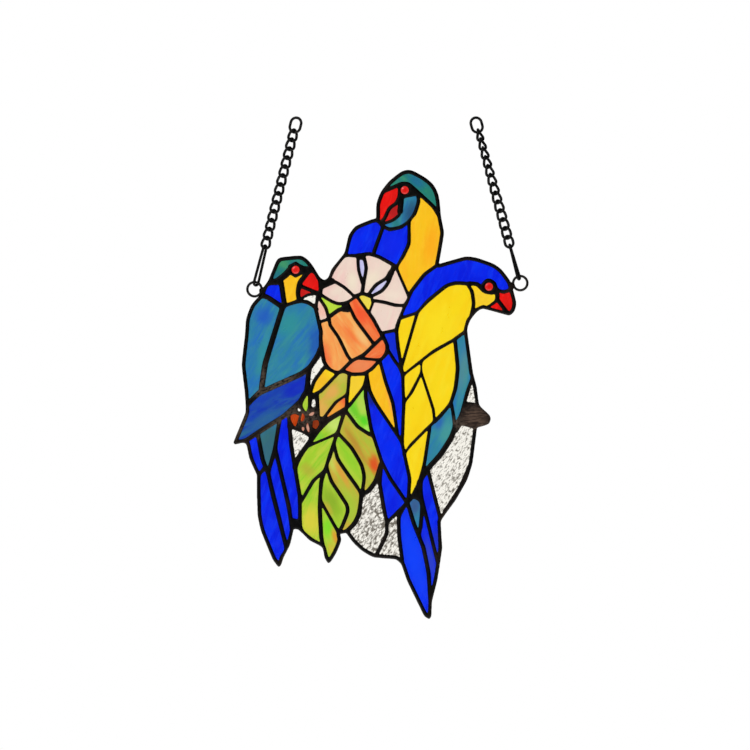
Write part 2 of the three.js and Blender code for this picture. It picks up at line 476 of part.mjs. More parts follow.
// Rings, hooks, chains and end links, each side on a straight line from its hanging point to its ring
const DARK_WIRE = { color: 0x121110, metalness: 0.7, roughness: 0.4 };
for (const [side, centre] of Object.entries(RINGS)) {
  const ring = at(centre);
  const hang = at([Math.sign(centre[0]) * HANG_HALF_SPAN, 0]);
  const run = hang.distanceTo(ring);
  const lean = Math.atan2(hang.x - ring.x, hang.y - ring.y);
  // Stands a geometry on the line, with its middle a given way below the hanging point
  const place = (geometry, way, turn = 0) => {
    geometry.rotateZ(turn);
    geometry.rotateY(lean);
    const spot = hang.clone().lerp(ring, way / run);
    geometry.translate(spot.x, 0, spot.y);
    return body(geometry);
  };

  // The end link stands square to the top of the first chain link
  const [topTurn, bottomTurn] = LINK_TURNS[side];
  const endTop = END_LINK_LENGTH / 2 - CHAIN_WIRE;
  const end = loop({ width: END_LINK_WIDTH, length: END_LINK_LENGTH, wire: CHAIN_WIRE, sides: 6, steps: 12 });
  add(`${side}_end_link`, place(end, endTop, topTurn + LINK_TWIST - Math.PI / 2), DARK_WIRE);

  const linkLength = LINK_PITCH + 2 * CHAIN_WIRE - LINK_WELD;
  const firstLink = endTop + END_LINK_LENGTH / 2 - 2 * CHAIN_WIRE - FIT_GAP + linkLength / 2;
  const links = [];
  for (let i = 0; i < LINK_COUNT; i += 1) {
    const link = loop({ width: LINK_WIDTH, length: linkLength, wire: CHAIN_WIRE, twist: LINK_TWIST });
    const turn = THREE.MathUtils.lerp(topTurn, bottomTurn, i / (LINK_COUNT - 1));
    links.push(place(link, firstLink + i * LINK_PITCH, turn));
  }
  add(`${side}_chain`, wasm.Manifold.union(links), DARK_WIRE);

  const lastEnd = firstLink + (LINK_COUNT - 1) * LINK_PITCH + linkLength / 2;
  const hookTop = lastEnd - CHAIN_WIRE - HOOK_WIRE - FIT_GAP;
  const hookEnd = run - RING_RADIUS + RING_WIRE / 2 + HOOK_WIRE + 2 * FIT_GAP;
  const hook = loop({
    width: HOOK_WIDTH, length: hookEnd - hookTop, wire: HOOK_WIRE, sides: 6, twist: HOOK_TWIST,
  });
  add(`${side}_hook`, place(hook, (hookTop + hookEnd) / 2, HOOK_TURNS[side]), DARK_WIRE);

  const eye = new THREE.TorusGeometry(RING_RADIUS, RING_WIRE / 2, 6, 14);
  eye.rotateX(Math.PI / 2);
  eye.translate(ring.x, 0, ring.y);
  add(`${side}_ring`, body(eye), { color: 0x1c1a19, metalness: 0.7, roughness: 0.4 });
}

export default panel;
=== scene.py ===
# %% [markdown]
# # A hanging stained glass panel
# The real panel is made in the copper-foil way: each piece of glass is cut, wrapped along its edge in thin
# copper foil and soldered to its neighbours on both faces, and the solder is then blackened.
# The solids say where every piece is. This script gives each piece its true surface: rounded beads of
# solder, wavy and streaky glass, pebbled clear panes, domed eyes and smooth round wire.

# %% Load the solids
import json
import math

import bpy
import numpy as np
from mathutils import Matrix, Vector


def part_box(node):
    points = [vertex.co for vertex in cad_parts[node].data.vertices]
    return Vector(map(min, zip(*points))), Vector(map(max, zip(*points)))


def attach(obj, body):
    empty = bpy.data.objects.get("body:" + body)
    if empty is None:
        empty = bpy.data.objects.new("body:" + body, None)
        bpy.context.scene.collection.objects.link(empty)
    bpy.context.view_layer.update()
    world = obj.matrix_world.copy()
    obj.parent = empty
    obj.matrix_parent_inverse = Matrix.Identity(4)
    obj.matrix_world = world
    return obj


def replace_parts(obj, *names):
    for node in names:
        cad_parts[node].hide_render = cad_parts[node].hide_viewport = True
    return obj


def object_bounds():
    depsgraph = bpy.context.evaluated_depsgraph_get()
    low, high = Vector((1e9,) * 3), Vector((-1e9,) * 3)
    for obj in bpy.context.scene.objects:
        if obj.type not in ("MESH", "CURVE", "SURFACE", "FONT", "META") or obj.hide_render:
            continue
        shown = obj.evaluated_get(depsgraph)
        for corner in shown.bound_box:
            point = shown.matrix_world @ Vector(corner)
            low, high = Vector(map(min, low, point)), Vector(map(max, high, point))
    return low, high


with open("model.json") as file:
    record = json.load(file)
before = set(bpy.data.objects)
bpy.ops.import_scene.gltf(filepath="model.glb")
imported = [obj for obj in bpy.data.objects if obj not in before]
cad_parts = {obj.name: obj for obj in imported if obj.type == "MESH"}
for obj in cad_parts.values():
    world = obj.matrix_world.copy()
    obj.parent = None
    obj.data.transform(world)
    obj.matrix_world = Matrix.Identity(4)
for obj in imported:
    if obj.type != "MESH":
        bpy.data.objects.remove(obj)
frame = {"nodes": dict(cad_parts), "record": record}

MM = 0.001
scene = bpy.context.scene
solids = frame["nodes"]
cad_low, cad_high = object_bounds()
print(len(solids), "solids, in a box of", [round(side / MM, 1) for side in cad_high - cad_low], "mm")

# %% [markdown]
# ## Camera
# The panel hangs upright and is seen square on from far away, so a long lens is used. The picture is
# square, and a lens of the right length makes it span 600 mm where the panel hangs.

# %% Camera
PICTURE_SPAN = 600 * MM
PICTURE_CENTRE = Vector((-8.8, 0, -204.8)) * MM
CAMERA_DISTANCE = 3.0

lens = bpy.data.cameras.new("camera")
lens.lens = lens.sensor_width * CAMERA_DISTANCE / PICTURE_SPAN
camera = bpy.data.objects.new("camera", lens)
camera.location = PICTURE_CENTRE - Vector((0, CAMERA_DISTANCE, 0))
camera.rotation_euler.x = math.radians(90)
scene.collection.objects.link(camera)
scene.camera = camera
scene.view_settings.view_transform = "Standard"
print("lens of", round(lens.lens), "mm")

# %% [markdown]
# ## Writing shaders as sums
# A material is a tree of nodes. Drawn by hand it is easy to read, but a script that makes every node and
# link one by one is not. So a Signal wraps one output socket and knows the signs + - *, each of which
# adds a Math node, and a Paint adds any other node from its type, its settings and its sockets.

# %% Signals and paints
class Signal:
    """One output socket of a node tree, ready for Python sums."""

    def __init__(self, paint, socket):
        self.paint = paint
        self.socket = socket

    def maths(self, operation, first, second):
        return self.paint.node("ShaderNodeMath", {"operation": operation}, {0: first, 1: second})

    def __add__(self, other):
        return self.maths("ADD", self, other)

    def __radd__(self, other):
        return self.maths("ADD", other, self)

    def __sub__(self, other):
        return self.maths("SUBTRACT", self, other)

    def __rsub__(self, other):
        return self.maths("SUBTRACT", other, self)

    def __mul__(self, other):
        return self.maths("MULTIPLY", self, other)

    def __rmul__(self, other):
        return self.maths("MULTIPLY", other, self)


class Paint:
    """The empty node tree of a material or a world, and the one method that adds nodes to it."""

    def __init__(self, owner):
        owner.use_nodes = True
        self.owner = owner
        self.tree = owner.node_tree
        self.tree.nodes.clear()

    def node(self, kind, settings=None, sockets=None, out=0):
        made = self.tree.nodes.new(kind)
        for name, value in (settings or {}).items():
            setattr(made, name, value)
        for name, value in (sockets or {}).items():
            if isinstance(value, Signal):
                self.tree.links.new(value.socket, made.inputs[name])
            else:
                made.inputs[name].default_value = value
        return Signal(self, made.outputs[out]) if len(made.outputs) else None


def srgb(red, green, blue):
    """A screen colour, 0 to 255, as the linear colour that shaders work with."""
    channels = [c / 255 for c in (red, green, blue)]
    return (*(c / 12.92 if c <= 0.04045 else ((c + 0.055) / 1.055) ** 2.4 for c in channels), 1.0)


print("a mid grey of 128 is", round(srgb(128, 128, 128)[0], 3), "in linear light")

# %% [markdown]
# ## Light and floor
# Stained glass is shown against the light. The whole room is white here, so light comes through every
# piece from behind as well as onto it from the front. It gives a little more light than the camera sees,
# so that the glass glows. Mirror-like reflections of a white room would wash the colours out, and a
# photographer takes them off with a polarising filter; the Light Path node does the same by dimming the
# room for reflected rays alone. The room is not sampled as a lamp is, because such a sample cannot tell
# which kind of ray it is for. One soft lamp gives beads and eyes their glints.

# %% White room
ROOM_LIGHT = 1.06
REFLECTED_LIGHT = 0.05

room = Paint(bpy.data.worlds.new("white_room"))
rays = ("Camera", "Glossy", "Transmission")
is_camera, is_glossy, is_through = (room.node("ShaderNodeLightPath", out=f"Is {ray} Ray") for ray in rays)
reflected = is_glossy * (1 - is_through)
strength = ROOM_LIGHT - (ROOM_LIGHT - 1) * is_camera - (ROOM_LIGHT - REFLECTED_LIGHT) * reflected
background = room.node("ShaderNodeBackground", {}, {"Color": (1, 1, 1, 1), "Strength": strength})
room.node("ShaderNodeOutputWorld", {}, {"Surface": background})
room.owner.cycles.sampling_method = "NONE"
scene.world = room.owner
print("room made of", len(room.tree.nodes), "nodes")

# %% Soft lamp
LAMP_SIZE = 0.9
LAMP_POWER = 14
LAMP_PLACE = PICTURE_CENTRE + Vector((-1.1, -1.6, 1.2))

lamp_data = bpy.data.lights.new("soft_lamp", "AREA")
lamp_data.size = LAMP_SIZE
lamp_data.energy = LAMP_POWER
lamp = bpy.data.objects.new("soft_lamp", lamp_data)
lamp.location = LAMP_PLACE
lamp.rotation_euler = (PICTURE_CENTRE - LAMP_PLACE).to_track_quat("-Z", "Y").to_euler()
lamp.visible_camera = False
lamp.visible_transmission = False
scene.collection.objects.link(lamp)
print("lamp", round((LAMP_PLACE - PICTURE_CENTRE).length, 2), "m from the panel")

# %% Pale floor
FLOOR_DROP = 0.22
FLOOR_RADIUS = 0.85
FLOOR_SIDES = 96

turns = [2 * math.pi * i / FLOOR_SIDES for i in range(FLOOR_SIDES)]
floor_mesh = bpy.data.meshes.new("floor")
floor_height = cad_low.z - FLOOR_DROP
floor_mesh.from_pydata(
    [(FLOOR_RADIUS * math.cos(t), FLOOR_RADIUS * math.sin(t), floor_height) for t in turns],
    [],
    [range(FLOOR_SIDES)],
)
floor = bpy.data.objects.new("floor", floor_mesh)
scene.collection.objects.link(floor)
floor_paint = Paint(bpy.data.materials.new("pale_floor"))
pale = floor_paint.node("ShaderNodeBsdfPrincipled", {}, {"Base Color": srgb(242, 241, 238), "Roughness": 0.7})
floor_paint.node("ShaderNodeOutputMaterial", {}, {"Surface": pale})
floor_mesh.materials.append(floor_paint.owner)
print("floor at", round(floor_height, 3), "m")

# %% [markdown]
# ## Reading the drawing back
# The front face of the leadwork is a flat sheet with holes, so the edges that only one of its triangles
# uses are the outlines of the panel and of every opening. The solids follow curves in straight steps.
# A curve through the steps' ends gives the flow of the real cut lines back, and true corners are kept.
# Later the outlines are blurred, which closes small openings and cuts sharp tips short. So small openings
# are drawn a little wider beforehand, and sharp tips a little longer.

# %% Outlines of flat faces
FLATNESS = 0.01


def front_loops(node, depth):
    """The closed outlines of a solid's faces that lie a given depth in front of the panel's plane, in mm."""
    mesh = solids[node].data
    mesh.calc_loop_triangles()
    corners = np.array([v.co for v in mesh.vertices]) / MM
    triangles = np.array([t.vertices for t in mesh.loop_triangles])
    flat = np.abs(corners[triangles, 1] + depth).max(1) < FLATNESS
    places, known = np.unique(corners[:, [0, 2]].round(3), axis=0, return_inverse=True)
    edges = {(a, b) for t in known[triangles[flat]].tolist() for a, b in zip(t, t[1:] + t[:1])}
    ways = {}
    for a, b in sorted(edges):
        if (b, a) not in edges:
            ways.setdefault(a, []).append(b)
    loops = []
    while ways:
        spot = min(ways)
        loop = []
        while spot in ways:
            loop.append(spot)
            following = ways[spot].pop()
            if not ways[spot]:
                del ways[spot]
            spot = following
        loops.append(places[loop])
    return loops


SOLDER_FACE = 2.5
GLASS_FACE = 1.5
lead_loops = front_loops("leadwork", SOLDER_FACE)
pocket_loops = front_loops("leadwork", GLASS_FACE)
print(len(lead_loops), "outlines in the leadwork,", len(pocket_loops), "of them small pockets")

# %% Smooth outlines
CROWDED = 0.35
CORNER = math.cos(math.radians(55))
CURVE_STEPS = 8
LONGEST_PULL = 7


def smooth(loop):
    """A closed outline with curves through its points, except at true corners."""
    loop = loop[np.hypot(*(np.roll(loop, -1, 0) - loop).T) > CROWDED]
    following = np.roll(loop, -1, 0)
    length = np.hypot(*(following - loop).T)[:, None]
    way = (following - loop) / length
    way_before = np.roll(way, 1, 0)
    length_before = np.roll(length, 1, 0)
    through = (way * length + way_before * length_before) / (length + length_before)
    corner = (way * way_before).sum(1, keepdims=True) < CORNER
    pull = np.minimum(length, LONGEST_PULL)
    leaving = np.where(corner, way, through) * pull
    arriving = np.roll(np.where(corner, way_before, through), -1, 0) * pull
    t = np.linspace(0, 1, CURVE_STEPS, endpoint=False)[:, None, None]
    curve = loop + t * leaving + t**2 * (3 * (following - loop) - 2 * leaving - arriving)
    curve = curve + t**3 * (leaving + arriving - 2 * (following - loop))
    return curve.transpose(1, 0, 2).reshape(-1, 2)


print("the longest outline has", max(len(smooth(loop)) for loop in lead_loops), "points when it is smooth")

# %% Room for the blur
TIP_CUT = 0.35
LONGEST_TIP = 1.3
STRAIGHT = 0.001
SMALL_OPENING = 60
WIDER = 0.35


def pointed(loop):
    """A loop whose sharp tips reach further out, because a blur cuts them short."""
    way = np.roll(loop, -1, 0) - loop
    way /= np.linalg.norm(way, axis=1, keepdims=True)
    outward = (np.roll(way, 1, 0) - way) / 2
    sharpness = np.linalg.norm(outward, axis=1, keepdims=True).clip(STRAIGHT, 1 - STRAIGHT)
    reach = TIP_CUT * (1 / np.sqrt(1 - sharpness**2) - 1)
    return loop + outward / sharpness * np.minimum(reach, LONGEST_TIP)


def area(loop):
    """The area inside a loop, negative if it runs clockwise."""
    following = np.roll(loop, -1, 0)
    return (loop[:, 0] * following[:, 1] - following[:, 0] * loop[:, 1]).sum() / 2


def eased(loop):
    """The smallest openings drawn a little wider, because a blur closes them up."""
    if abs(area(loop)) > SMALL_OPENING:
        return loop
    tangent = np.roll(loop, -1, 0) - np.roll(loop, 1, 0)
    tangent /= np.linalg.norm(tangent, axis=1, keepdims=True)
    outward = np.stack([tangent[:, 1], -tangent[:, 0]], 1) * np.sign(area(loop))
    return loop + WIDER * outward


lead_loops.sort(key=lambda loop: np.ptp(loop[:, 0]))
*openings, outline = lead_loops
outline = smooth(outline)
lead_loops = [eased(smooth(pointed(loop))) for loop in openings] + [outline]
pocket_loops = [eased(smooth(pointed(loop))) for loop in pocket_loops]
print("panel outline of", len(outline), "points,", np.ptp(outline, axis=0).round(1), "mm across and high")

# %% [markdown]
# ## From outlines to surfaces
# Solder is liquid when it is laid, so its section is a low arch. That comes from one trick: the outlines
# are filled in like a stencil, and the stencil is blurred. The further a place is over one half, the
# higher the bead stands there. A stencil that is blurred just a little is also what the meshes are made
# from: it is cut into squares, and these are trimmed along the line where it crosses one half.

# %% Stencils
GRID_MARGIN = 10
FINE_STEPS = 4


def stencil(loops, cell):
    """How much of each square of a grid lies inside the loops, and where the grid starts, in mm."""
    points = np.concatenate(loops)
    start = (np.floor(points.min(0) / cell) - GRID_MARGIN) * cell
    cols, rows = (np.ceil((points.max(0) - start) / cell) + GRID_MARGIN).astype(int)
    fine = cell / FINE_STEPS
    flips = np.zeros((rows * FINE_STEPS, cols * FINE_STEPS + 1), int)
    for loop in loops:
        here = (loop - start) / fine - 0.5
        there = np.roll(here, -1, 0)
        first = np.ceil(np.minimum(here[:, 1], there[:, 1])).astype(int)
        count = np.ceil(np.maximum(here[:, 1], there[:, 1])).astype(int) - first
        edge = np.repeat(np.arange(len(loop)), count)
        row = first[edge] + np.arange(len(edge)) - np.repeat(np.cumsum(count) - count, count)
        part = (row - here[edge, 1]) / (there[edge, 1] - here[edge, 1])
        col = np.ceil(here[edge, 0] + part * (there[edge, 0] - here[edge, 0])).astype(int)
        np.add.at(flips, (row, col), 1)
    filled = np.cumsum(flips, 1)[:, :-1] % 2
    return filled.reshape(rows, FINE_STEPS, cols, FINE_STEPS).mean((1, 3)), start


def shifted(field):
    """Nine copies of a field, in three rows: moved by one square each way, and the one that stays."""
    padded = np.pad(field, 1)
    rows, cols = field.shape
    return [[padded[j : j + rows, i : i + cols] for i in range(3)] for j in range(3)]


def blur(field, passes):
    for _ in range(passes):
        across = [(row[0] + 2 * row[1] + row[2]) / 4 for row in shifted(field)]
        field = (across[0] + 2 * across[1] + across[2]) / 4
    return field


def grow(field, passes):
    for _ in range(passes):
        field = np.max([part for row in shifted(field) for part in row], axis=0)
    return field


SOLDER_CELL = 0.68
lead_stencil, lead_start = stencil(lead_loops, SOLDER_CELL)
print("solder covers", round(lead_stencil.sum() * SOLDER_CELL**2 / 100), "square centimetres")

# %% Trimming a stencil to a mesh
HALF = 0.5


def trim(field):
    """Points (column, row), triangles and rim edges of the part of a field that is over one half."""
    rows, cols = field.shape
    inside = field > HALF
    spots = np.arange(rows * cols).reshape(rows, cols)
    corners = [spots[:-1, :-1], spots[:-1, 1:], spots[1:, 1:], spots[1:, :-1]]
    crossings = [corners[0] + spots.size, corners[1] + 2 * spots.size]
    crossings += [corners[3] + spots.size, corners[0] + 2 * spots.size]
    cases = sum(inside.ravel()[corner].astype(int) << k for k, corner in enumerate(corners))
    triangles, rims = [], []
    for case in range(1, 16):
        kept = [case >> k & 1 for k in range(4)]
        ring = []
        for k in range(4):
            ring += [(False, corners[k])] if kept[k] else []
            ring += [(True, crossings[k])] if kept[k] != kept[(k + 1) % 4] else []
        ring = [(cut, ids[cases == case]) for cut, ids in ring]
        for (_, second), (_, third) in zip(ring[1:-1], ring[2:]):
            triangles.append(np.stack([ring[0][1], second, third], 1))
        for (cut, first), (cut_too, second) in zip(ring, ring[1:] + ring[:1]):
            if cut and cut_too:
                rims.append(np.stack([first, second], 1))
    triangles, rims = np.concatenate(triangles), np.concatenate(rims)
    used, triangles = np.unique(triangles, return_inverse=True)
    rims = np.searchsorted(used, rims)
    kind, spot = np.divmod(used, spots.size)
    row, col = np.divmod(spot, cols)
    flat = field.ravel()
    after = np.where(kind == 1, spot + 1, np.where(kind == 2, spot + cols, spot))
    span = np.where(kind == 0, 1, flat[after] - flat[spot])
    part = np.where(kind == 0, 0, (HALF - flat[spot]) / span)
    points = np.stack([col + part * (kind == 1), row + part * (kind == 2)], 1)
    return points, triangles.reshape(-1, 3), rims


def read(field, points):
    """A field's values between its grid points."""
    col, row = np.floor(points.T).astype(int)
    col_part, row_part = points.T - (col, row)
    next_col = np.minimum(col + 1, field.shape[1] - 1)
    next_row = np.minimum(row + 1, field.shape[0] - 1)
    near = field[row, col] * (1 - col_part) + field[row, next_col] * col_part
    far = field[next_row, col] * (1 - col_part) + field[next_row, next_col] * col_part
    return near * (1 - row_part) + far * row_part


def add_piece(name, points, faces, sharp=180):
    """A smooth-shaded object from points in mm, which rides on the panel."""
    mesh = bpy.data.meshes.new(name)
    mesh.from_pydata((np.asarray(points) * MM).tolist(), [], np.asarray(faces).tolist())
    mesh.shade_smooth()
    mesh.set_sharp_from_angle(angle=math.radians(sharp))
    piece = bpy.data.objects.new(name, mesh)
    scene.collection.objects.link(piece)
    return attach(piece, "root")


def add_plate(name, field, start, cell, front, back, sharp=180):
    """A plate with a stencil's outline, whose front and back stand off the middle as two functions say."""
    points, triangles, rims = trim(field)
    x, z = (start + (points + 0.5) * cell).T
    ahead = np.stack([x, -front(points, x, z), z], 1)
    behind = np.stack([x, back(points, x, z), z], 1)
    count = len(points)
    first, second = rims.T
    walls = [[second, first, first + count], [second, first + count, second + count]]
    walls = np.concatenate([np.stack(wall, 1) for wall in walls])
    faces = np.concatenate([triangles, triangles[:, ::-1] + count, walls])
    return add_piece(name, np.concatenate([ahead, behind]), faces, sharp)


print("a stencil of the leadwork trims to", len(trim(lead_stencil)[1]), "triangles a face")

# %% Random ripples
RIPPLE_TABLE = 256


def ripple(x, z, size, seed):
    """Smooth random heights between -1 and 1, in bumps of a given size."""
    table = np.random.default_rng(seed).uniform(-1, 1, (RIPPLE_TABLE, RIPPLE_TABLE))
    col, row = np.floor(x / size).astype(int), np.floor(z / size).astype(int)
    a, b = x / size - col, z / size - row
    a, b = a * a * (3 - 2 * a), b * b * (3 - 2 * b)
    near, far = row % RIPPLE_TABLE, (row + 1) % RIPPLE_TABLE
    left, right = col % RIPPLE_TABLE, (col + 1) % RIPPLE_TABLE
    low = table[near, left] * (1 - a) + table[near, right] * a
    high = table[far, left] * (1 - a) + table[far, right] * a
    return low * (1 - b) + high * b


print("a ripple at three places:", ripple(np.arange(3.0), np.arange(3.0), 2, 1).round(2))

# %% [markdown]
# ## Leadwork
# The net of solder is one piece. Beads rise about a millimetre above the glass on both faces, a little
# unevenly, as a hand-held iron leaves them. The rim is rounded over the edge of the glass. Where each
# ring is tacked on, a drop of solder is added to the stencil. Liquid solder spreads a little over the
# glass; a blurred edge falls by about 0.8 a millimetre after one pass and by about 0.5 after three, so
# that slope is added for each millimetre of spread. The stump of the branch on the right is modelled in
# solder too, thicker than a bead, and has grooves like bark.

# %% Drops of solder that hold the rings
DROP_RADIUS = 2.6


def middle(node):
    low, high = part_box(node)
    return np.array((low + high) / 2) / MM


def disc(centre, radius, sides=24):
    angles = np.linspace(0, 2 * np.pi, sides, endpoint=False)
    return centre + radius * np.stack([np.cos(angles), np.sin(angles)], 1)


drops = []
for side in ("left", "right"):
    ring_centre = middle(side + "_ring")[[0, 2]]
    nearest = outline[np.hypot(*(outline - ring_centre).T).argmin()]
    drops.append(disc(nearest, DROP_RADIUS))
print("rings are tacked on at", [drop.mean(0).round(1).tolist() for drop in drops])

# %% Beads and bark
EDGE_PASSES = 1
EDGE_SLOPE = 0.8
BEAD_PASSES = 3
BEAD_SLOPE = 0.5
SPREAD = 0.2
CREST = 1.15
SWELLS = [(5.5, 0.14), (1.9, 0.07)]
EDGE_DIP = 0.15
RIM_HEIGHT = 0.15
STUMP_CENTRE = np.array((72.5, -238.5))
STUMP_HALF = np.array((13.0, 10.0))
STUMP_RISE = 0.9
GROOVE_DEPTH = 0.28
GROOVE_SIZE = 1.7
GROOVE_STRETCH = 6
BARK_WARP = 1.2
BARK_WARP_SIZE = 7


def stamp(field, start, cell, loop):
    """The field joined with one more filled loop."""
    patch, patch_start = stencil([loop], cell)
    col, row = np.round((patch_start - start) / cell).astype(int)
    rows, cols = patch.shape
    joined = np.pad(field, GRID_MARGIN)
    window = joined[row + GRID_MARGIN :, col + GRID_MARGIN :][:rows, :cols]
    np.maximum(window, patch, out=window)
    return joined, start - GRID_MARGIN * cell


sheet_stencil, _ = stencil([outline], SOLDER_CELL)
sheet_start = lead_start
for drop in drops:
    lead_stencil, lead_start = stamp(lead_stencil, lead_start, SOLDER_CELL, drop)
    sheet_stencil, sheet_start = stamp(sheet_stencil, sheet_start, SOLDER_CELL, drop)
edge_field = blur(lead_stencil, EDGE_PASSES) + EDGE_SLOPE * SPREAD
bead_field = blur(lead_stencil, BEAD_PASSES) + BEAD_SLOPE * SPREAD
sheet_field = blur(sheet_stencil, BEAD_PASSES) + BEAD_SLOPE * SPREAD


def over_half(field, points):
    """How far a field is over one half: 0 up to the half, 1 at a full stencil."""
    return np.clip(2 * read(field, points) - 1, 0, 1)


def bead_height(points, x, z, seed):
    """How far a face of the solder stands off the middle of the panel."""
    uneven = 1 + sum(height * ripple(x, z, size, seed + k) for k, (size, height) in enumerate(SWELLS))
    rise = CREST * np.sqrt(over_half(bead_field, points)) * uneven
    reach = (np.stack([x, z], 1) - STUMP_CENTRE) / STUMP_HALF
    stump = np.clip(1 - (reach**2).sum(1), 0, 1) ** 0.5
    warp = BARK_WARP * ripple(x, z, BARK_WARP_SIZE, seed + 2)
    groove = np.abs(ripple(x / GROOVE_STRETCH, z + warp, GROOVE_SIZE, seed + 3))
    rise = rise + np.minimum(stump, rise / CREST) * (STUMP_RISE - GROOVE_DEPTH * (1 - groove))
    rim = np.sqrt(over_half(sheet_field, points))
    return RIM_HEIGHT + (GLASS_FACE - EDGE_DIP - RIM_HEIGHT + rise) * rim


leadwork = add_plate(
    "leadwork_beads",
    edge_field,
    lead_start,
    SOLDER_CELL,
    lambda points, x, z: bead_height(points, x, z, 10),
    lambda points, x, z: bead_height(points, x, z, 20),
)
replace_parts(leadwork, "leadwork")
print("leadwork of", len(leadwork.data.polygons), "triangles")

# %% [markdown]
# ## Glass pieces
# Every opening holds one piece of glass, which reaches a little way under the beads. The larger pieces
# have solids of their own. The small ones are pockets in the leadwork, and a point inside each, as
# millimetres across and down from the hanging points, tells which pocket is which. Sheet glass is rolled,
# so its faces wave slightly; that is modelled, because the waves are what makes reflections run.

# %% Names of the small pieces
SMALL_PIECES = {
    "left_bird_crown": ("sea", -84, 118),
    "left_bird_neck": ("cobalt", -89, 138),
    "left_bird_upper_beak": ("red", -58.5, 130),
    "left_bird_lower_beak": ("red", -67, 139),
    "left_bird_short_feather": ("cobalt", -105.5, 265),
    "blossom_bud": ("petal", -51.3, 153.5),
    "blossom_fold_top": ("lavender", -19.3, 117),
    "blossom_fold_right": ("lavender", -4, 134.3),
    "blossom_heart": ("yellow", -15, 146),
    "blossom_leaf": ("leaf", -44.5, 150),
    "bell_lip_right": ("coral", -4.5, 185),
    "bell_lip_left": ("coral", -20, 197.5),
    "sepal_left": ("yellow", -52, 210),
    "sepal_bud": ("coral", -38, 229.5),
    "sepal_middle": ("yellow", -24, 212),
    "leaf_top_left": ("leaf", -48, 249),
    "top_bird_upper_beak": ("red", 1, 64),
    "top_bird_lower_beak": ("red", 6.5, 74.5),
    "top_bird_tail_root": ("cobalt", 5, 180),
    "right_bird_upper_beak": ("red", 98, 145),
    "right_bird_lower_beak": ("red", 87.5, 150.8),
    "right_bird_breast": ("yellow", 20, 210),
    "right_bird_tail_short": ("teal", 24, 312),
    "clear_by_beak": ("clear", -58.8, 144),
    "clear_by_bell": ("clear", -56, 200),
    "clear_by_tail": ("clear", -72, 257),
    "clear_upper_right": ("clear", 69.3, 221),
    "branch_amber_wide": ("amber_brown", -73, 240),
    "branch_amber_slip": ("amber_brown", -66.7, 239),
    "branch_amber_fleck": ("amber_brown", -59.6, 236.1),
    "branch_amber_reed": ("amber_brown", -62.4, 247),
    "branch_amber_bead": ("amber_brown", -66.4, 247.9),
    "branch_amber_knot": ("amber_brown", -56.2, 244.2),
    "clear_chip": ("clear", -58, 227.5),
    "clear_fleck": ("clear", -69.4, 232.9),
    "leaf_sliver": ("leaf", -64, 228),
    "left_bird_eye": ("red", -72.3, 120.7),
    "top_bird_eye": ("red", 15, 57),
    "right_bird_eye": ("red", 82.3, 134.2),
}


def holds(loop, spot):
    """True if a line from the spot to the right crosses the loop an odd number of times."""
    here, there = loop - spot, np.roll(loop, -1, 0) - spot
    spans = (here[:, 1] > 0) != (there[:, 1] > 0)
    a, b = here[spans], there[spans]
    return ((a[:, 0] - a[:, 1] * (b[:, 0] - a[:, 0]) / (b[:, 1] - a[:, 1])) > 0).sum() % 2 == 1


outlines = {}
for name, (_, across, down) in SMALL_PIECES.items():
    outlines[name] = next(loop for loop in pocket_loops if holds(loop, np.array((across, -down))))
print(len(outlines), "small pieces found in their pockets")

# %% Kinds of glass, from the record's material slots
slot_of = {part["node"]: part["material_slot"] for part in frame["record"]["subparts"]}
kinds = {name: kind for name, (kind, _, _) in SMALL_PIECES.items()}
for name, slot in slot_of.items():
    if slot.startswith("glass_"):
        kinds[name] = slot.removeprefix("glass_")
        outlines[name] = smooth(front_loops(name, GLASS_FACE)[0])
print(len(kinds), "pieces of glass in", len(set(kinds.values())), "kinds")

# %% [markdown]
# ## The finish of coloured glass
# Opalescent glass is ladled from pots of two or three colours and rolled while they are still swirling, so
# each sheet has long soft streaks. A noise that is stretched along one direction gives them. Every piece is
# cut from its own corner of the sheet, so each gets its own shift, and many have a lean of their own. Some
# pieces have strong swirls at known places: oval masks mix them in. The glass lets light through and
# scatters it on the way, which plain transmission and roughness values on the shader give.

# %% Colours of the sheets: main colour, broad streaks, fine streaks
GLASS = {
    "cobalt": ((0, 40, 242), (0, 26, 222), (6, 58, 250)),
    "teal": ((46, 130, 158), (38, 112, 184), (60, 148, 146)),
    "sea": ((34, 132, 104), (34, 112, 128), (58, 146, 108)),
    "navy": ((22, 62, 176), (44, 108, 140), (16, 40, 168)),
    "yellow": ((250, 217, 22), (250, 210, 18), (250, 223, 36)),
    "amber": ((250, 195, 26), (251, 187, 30), (252, 205, 42)),
    "red": ((234, 16, 12), (208, 18, 14), (244, 36, 26)),
    "petal": ((238, 214, 200), (240, 204, 194), (240, 222, 204)),
    "lavender": ((206, 202, 240), (190, 188, 232), (222, 222, 246)),
    "orange": ((247, 172, 90), (246, 142, 70), (250, 194, 116)),
    "coral": ((244, 118, 60), (240, 98, 50), (246, 142, 84)),
    "olive": ((184, 188, 58), (204, 170, 60), (164, 196, 58)),
    "leaf": ((164, 206, 48), (190, 208, 64), (120, 202, 38)),
    "lime": ((140, 212, 50), (110, 216, 40), (178, 222, 96)),
    "amber_brown": ((190, 64, 8), (160, 40, 6), (226, 112, 50)),
}
STREAK_SIZES = {"cobalt": (40, 13), "yellow": (60, 22), "petal": (40, 16), "red": (24, 8)}
USUAL_STREAK = (34, 7)
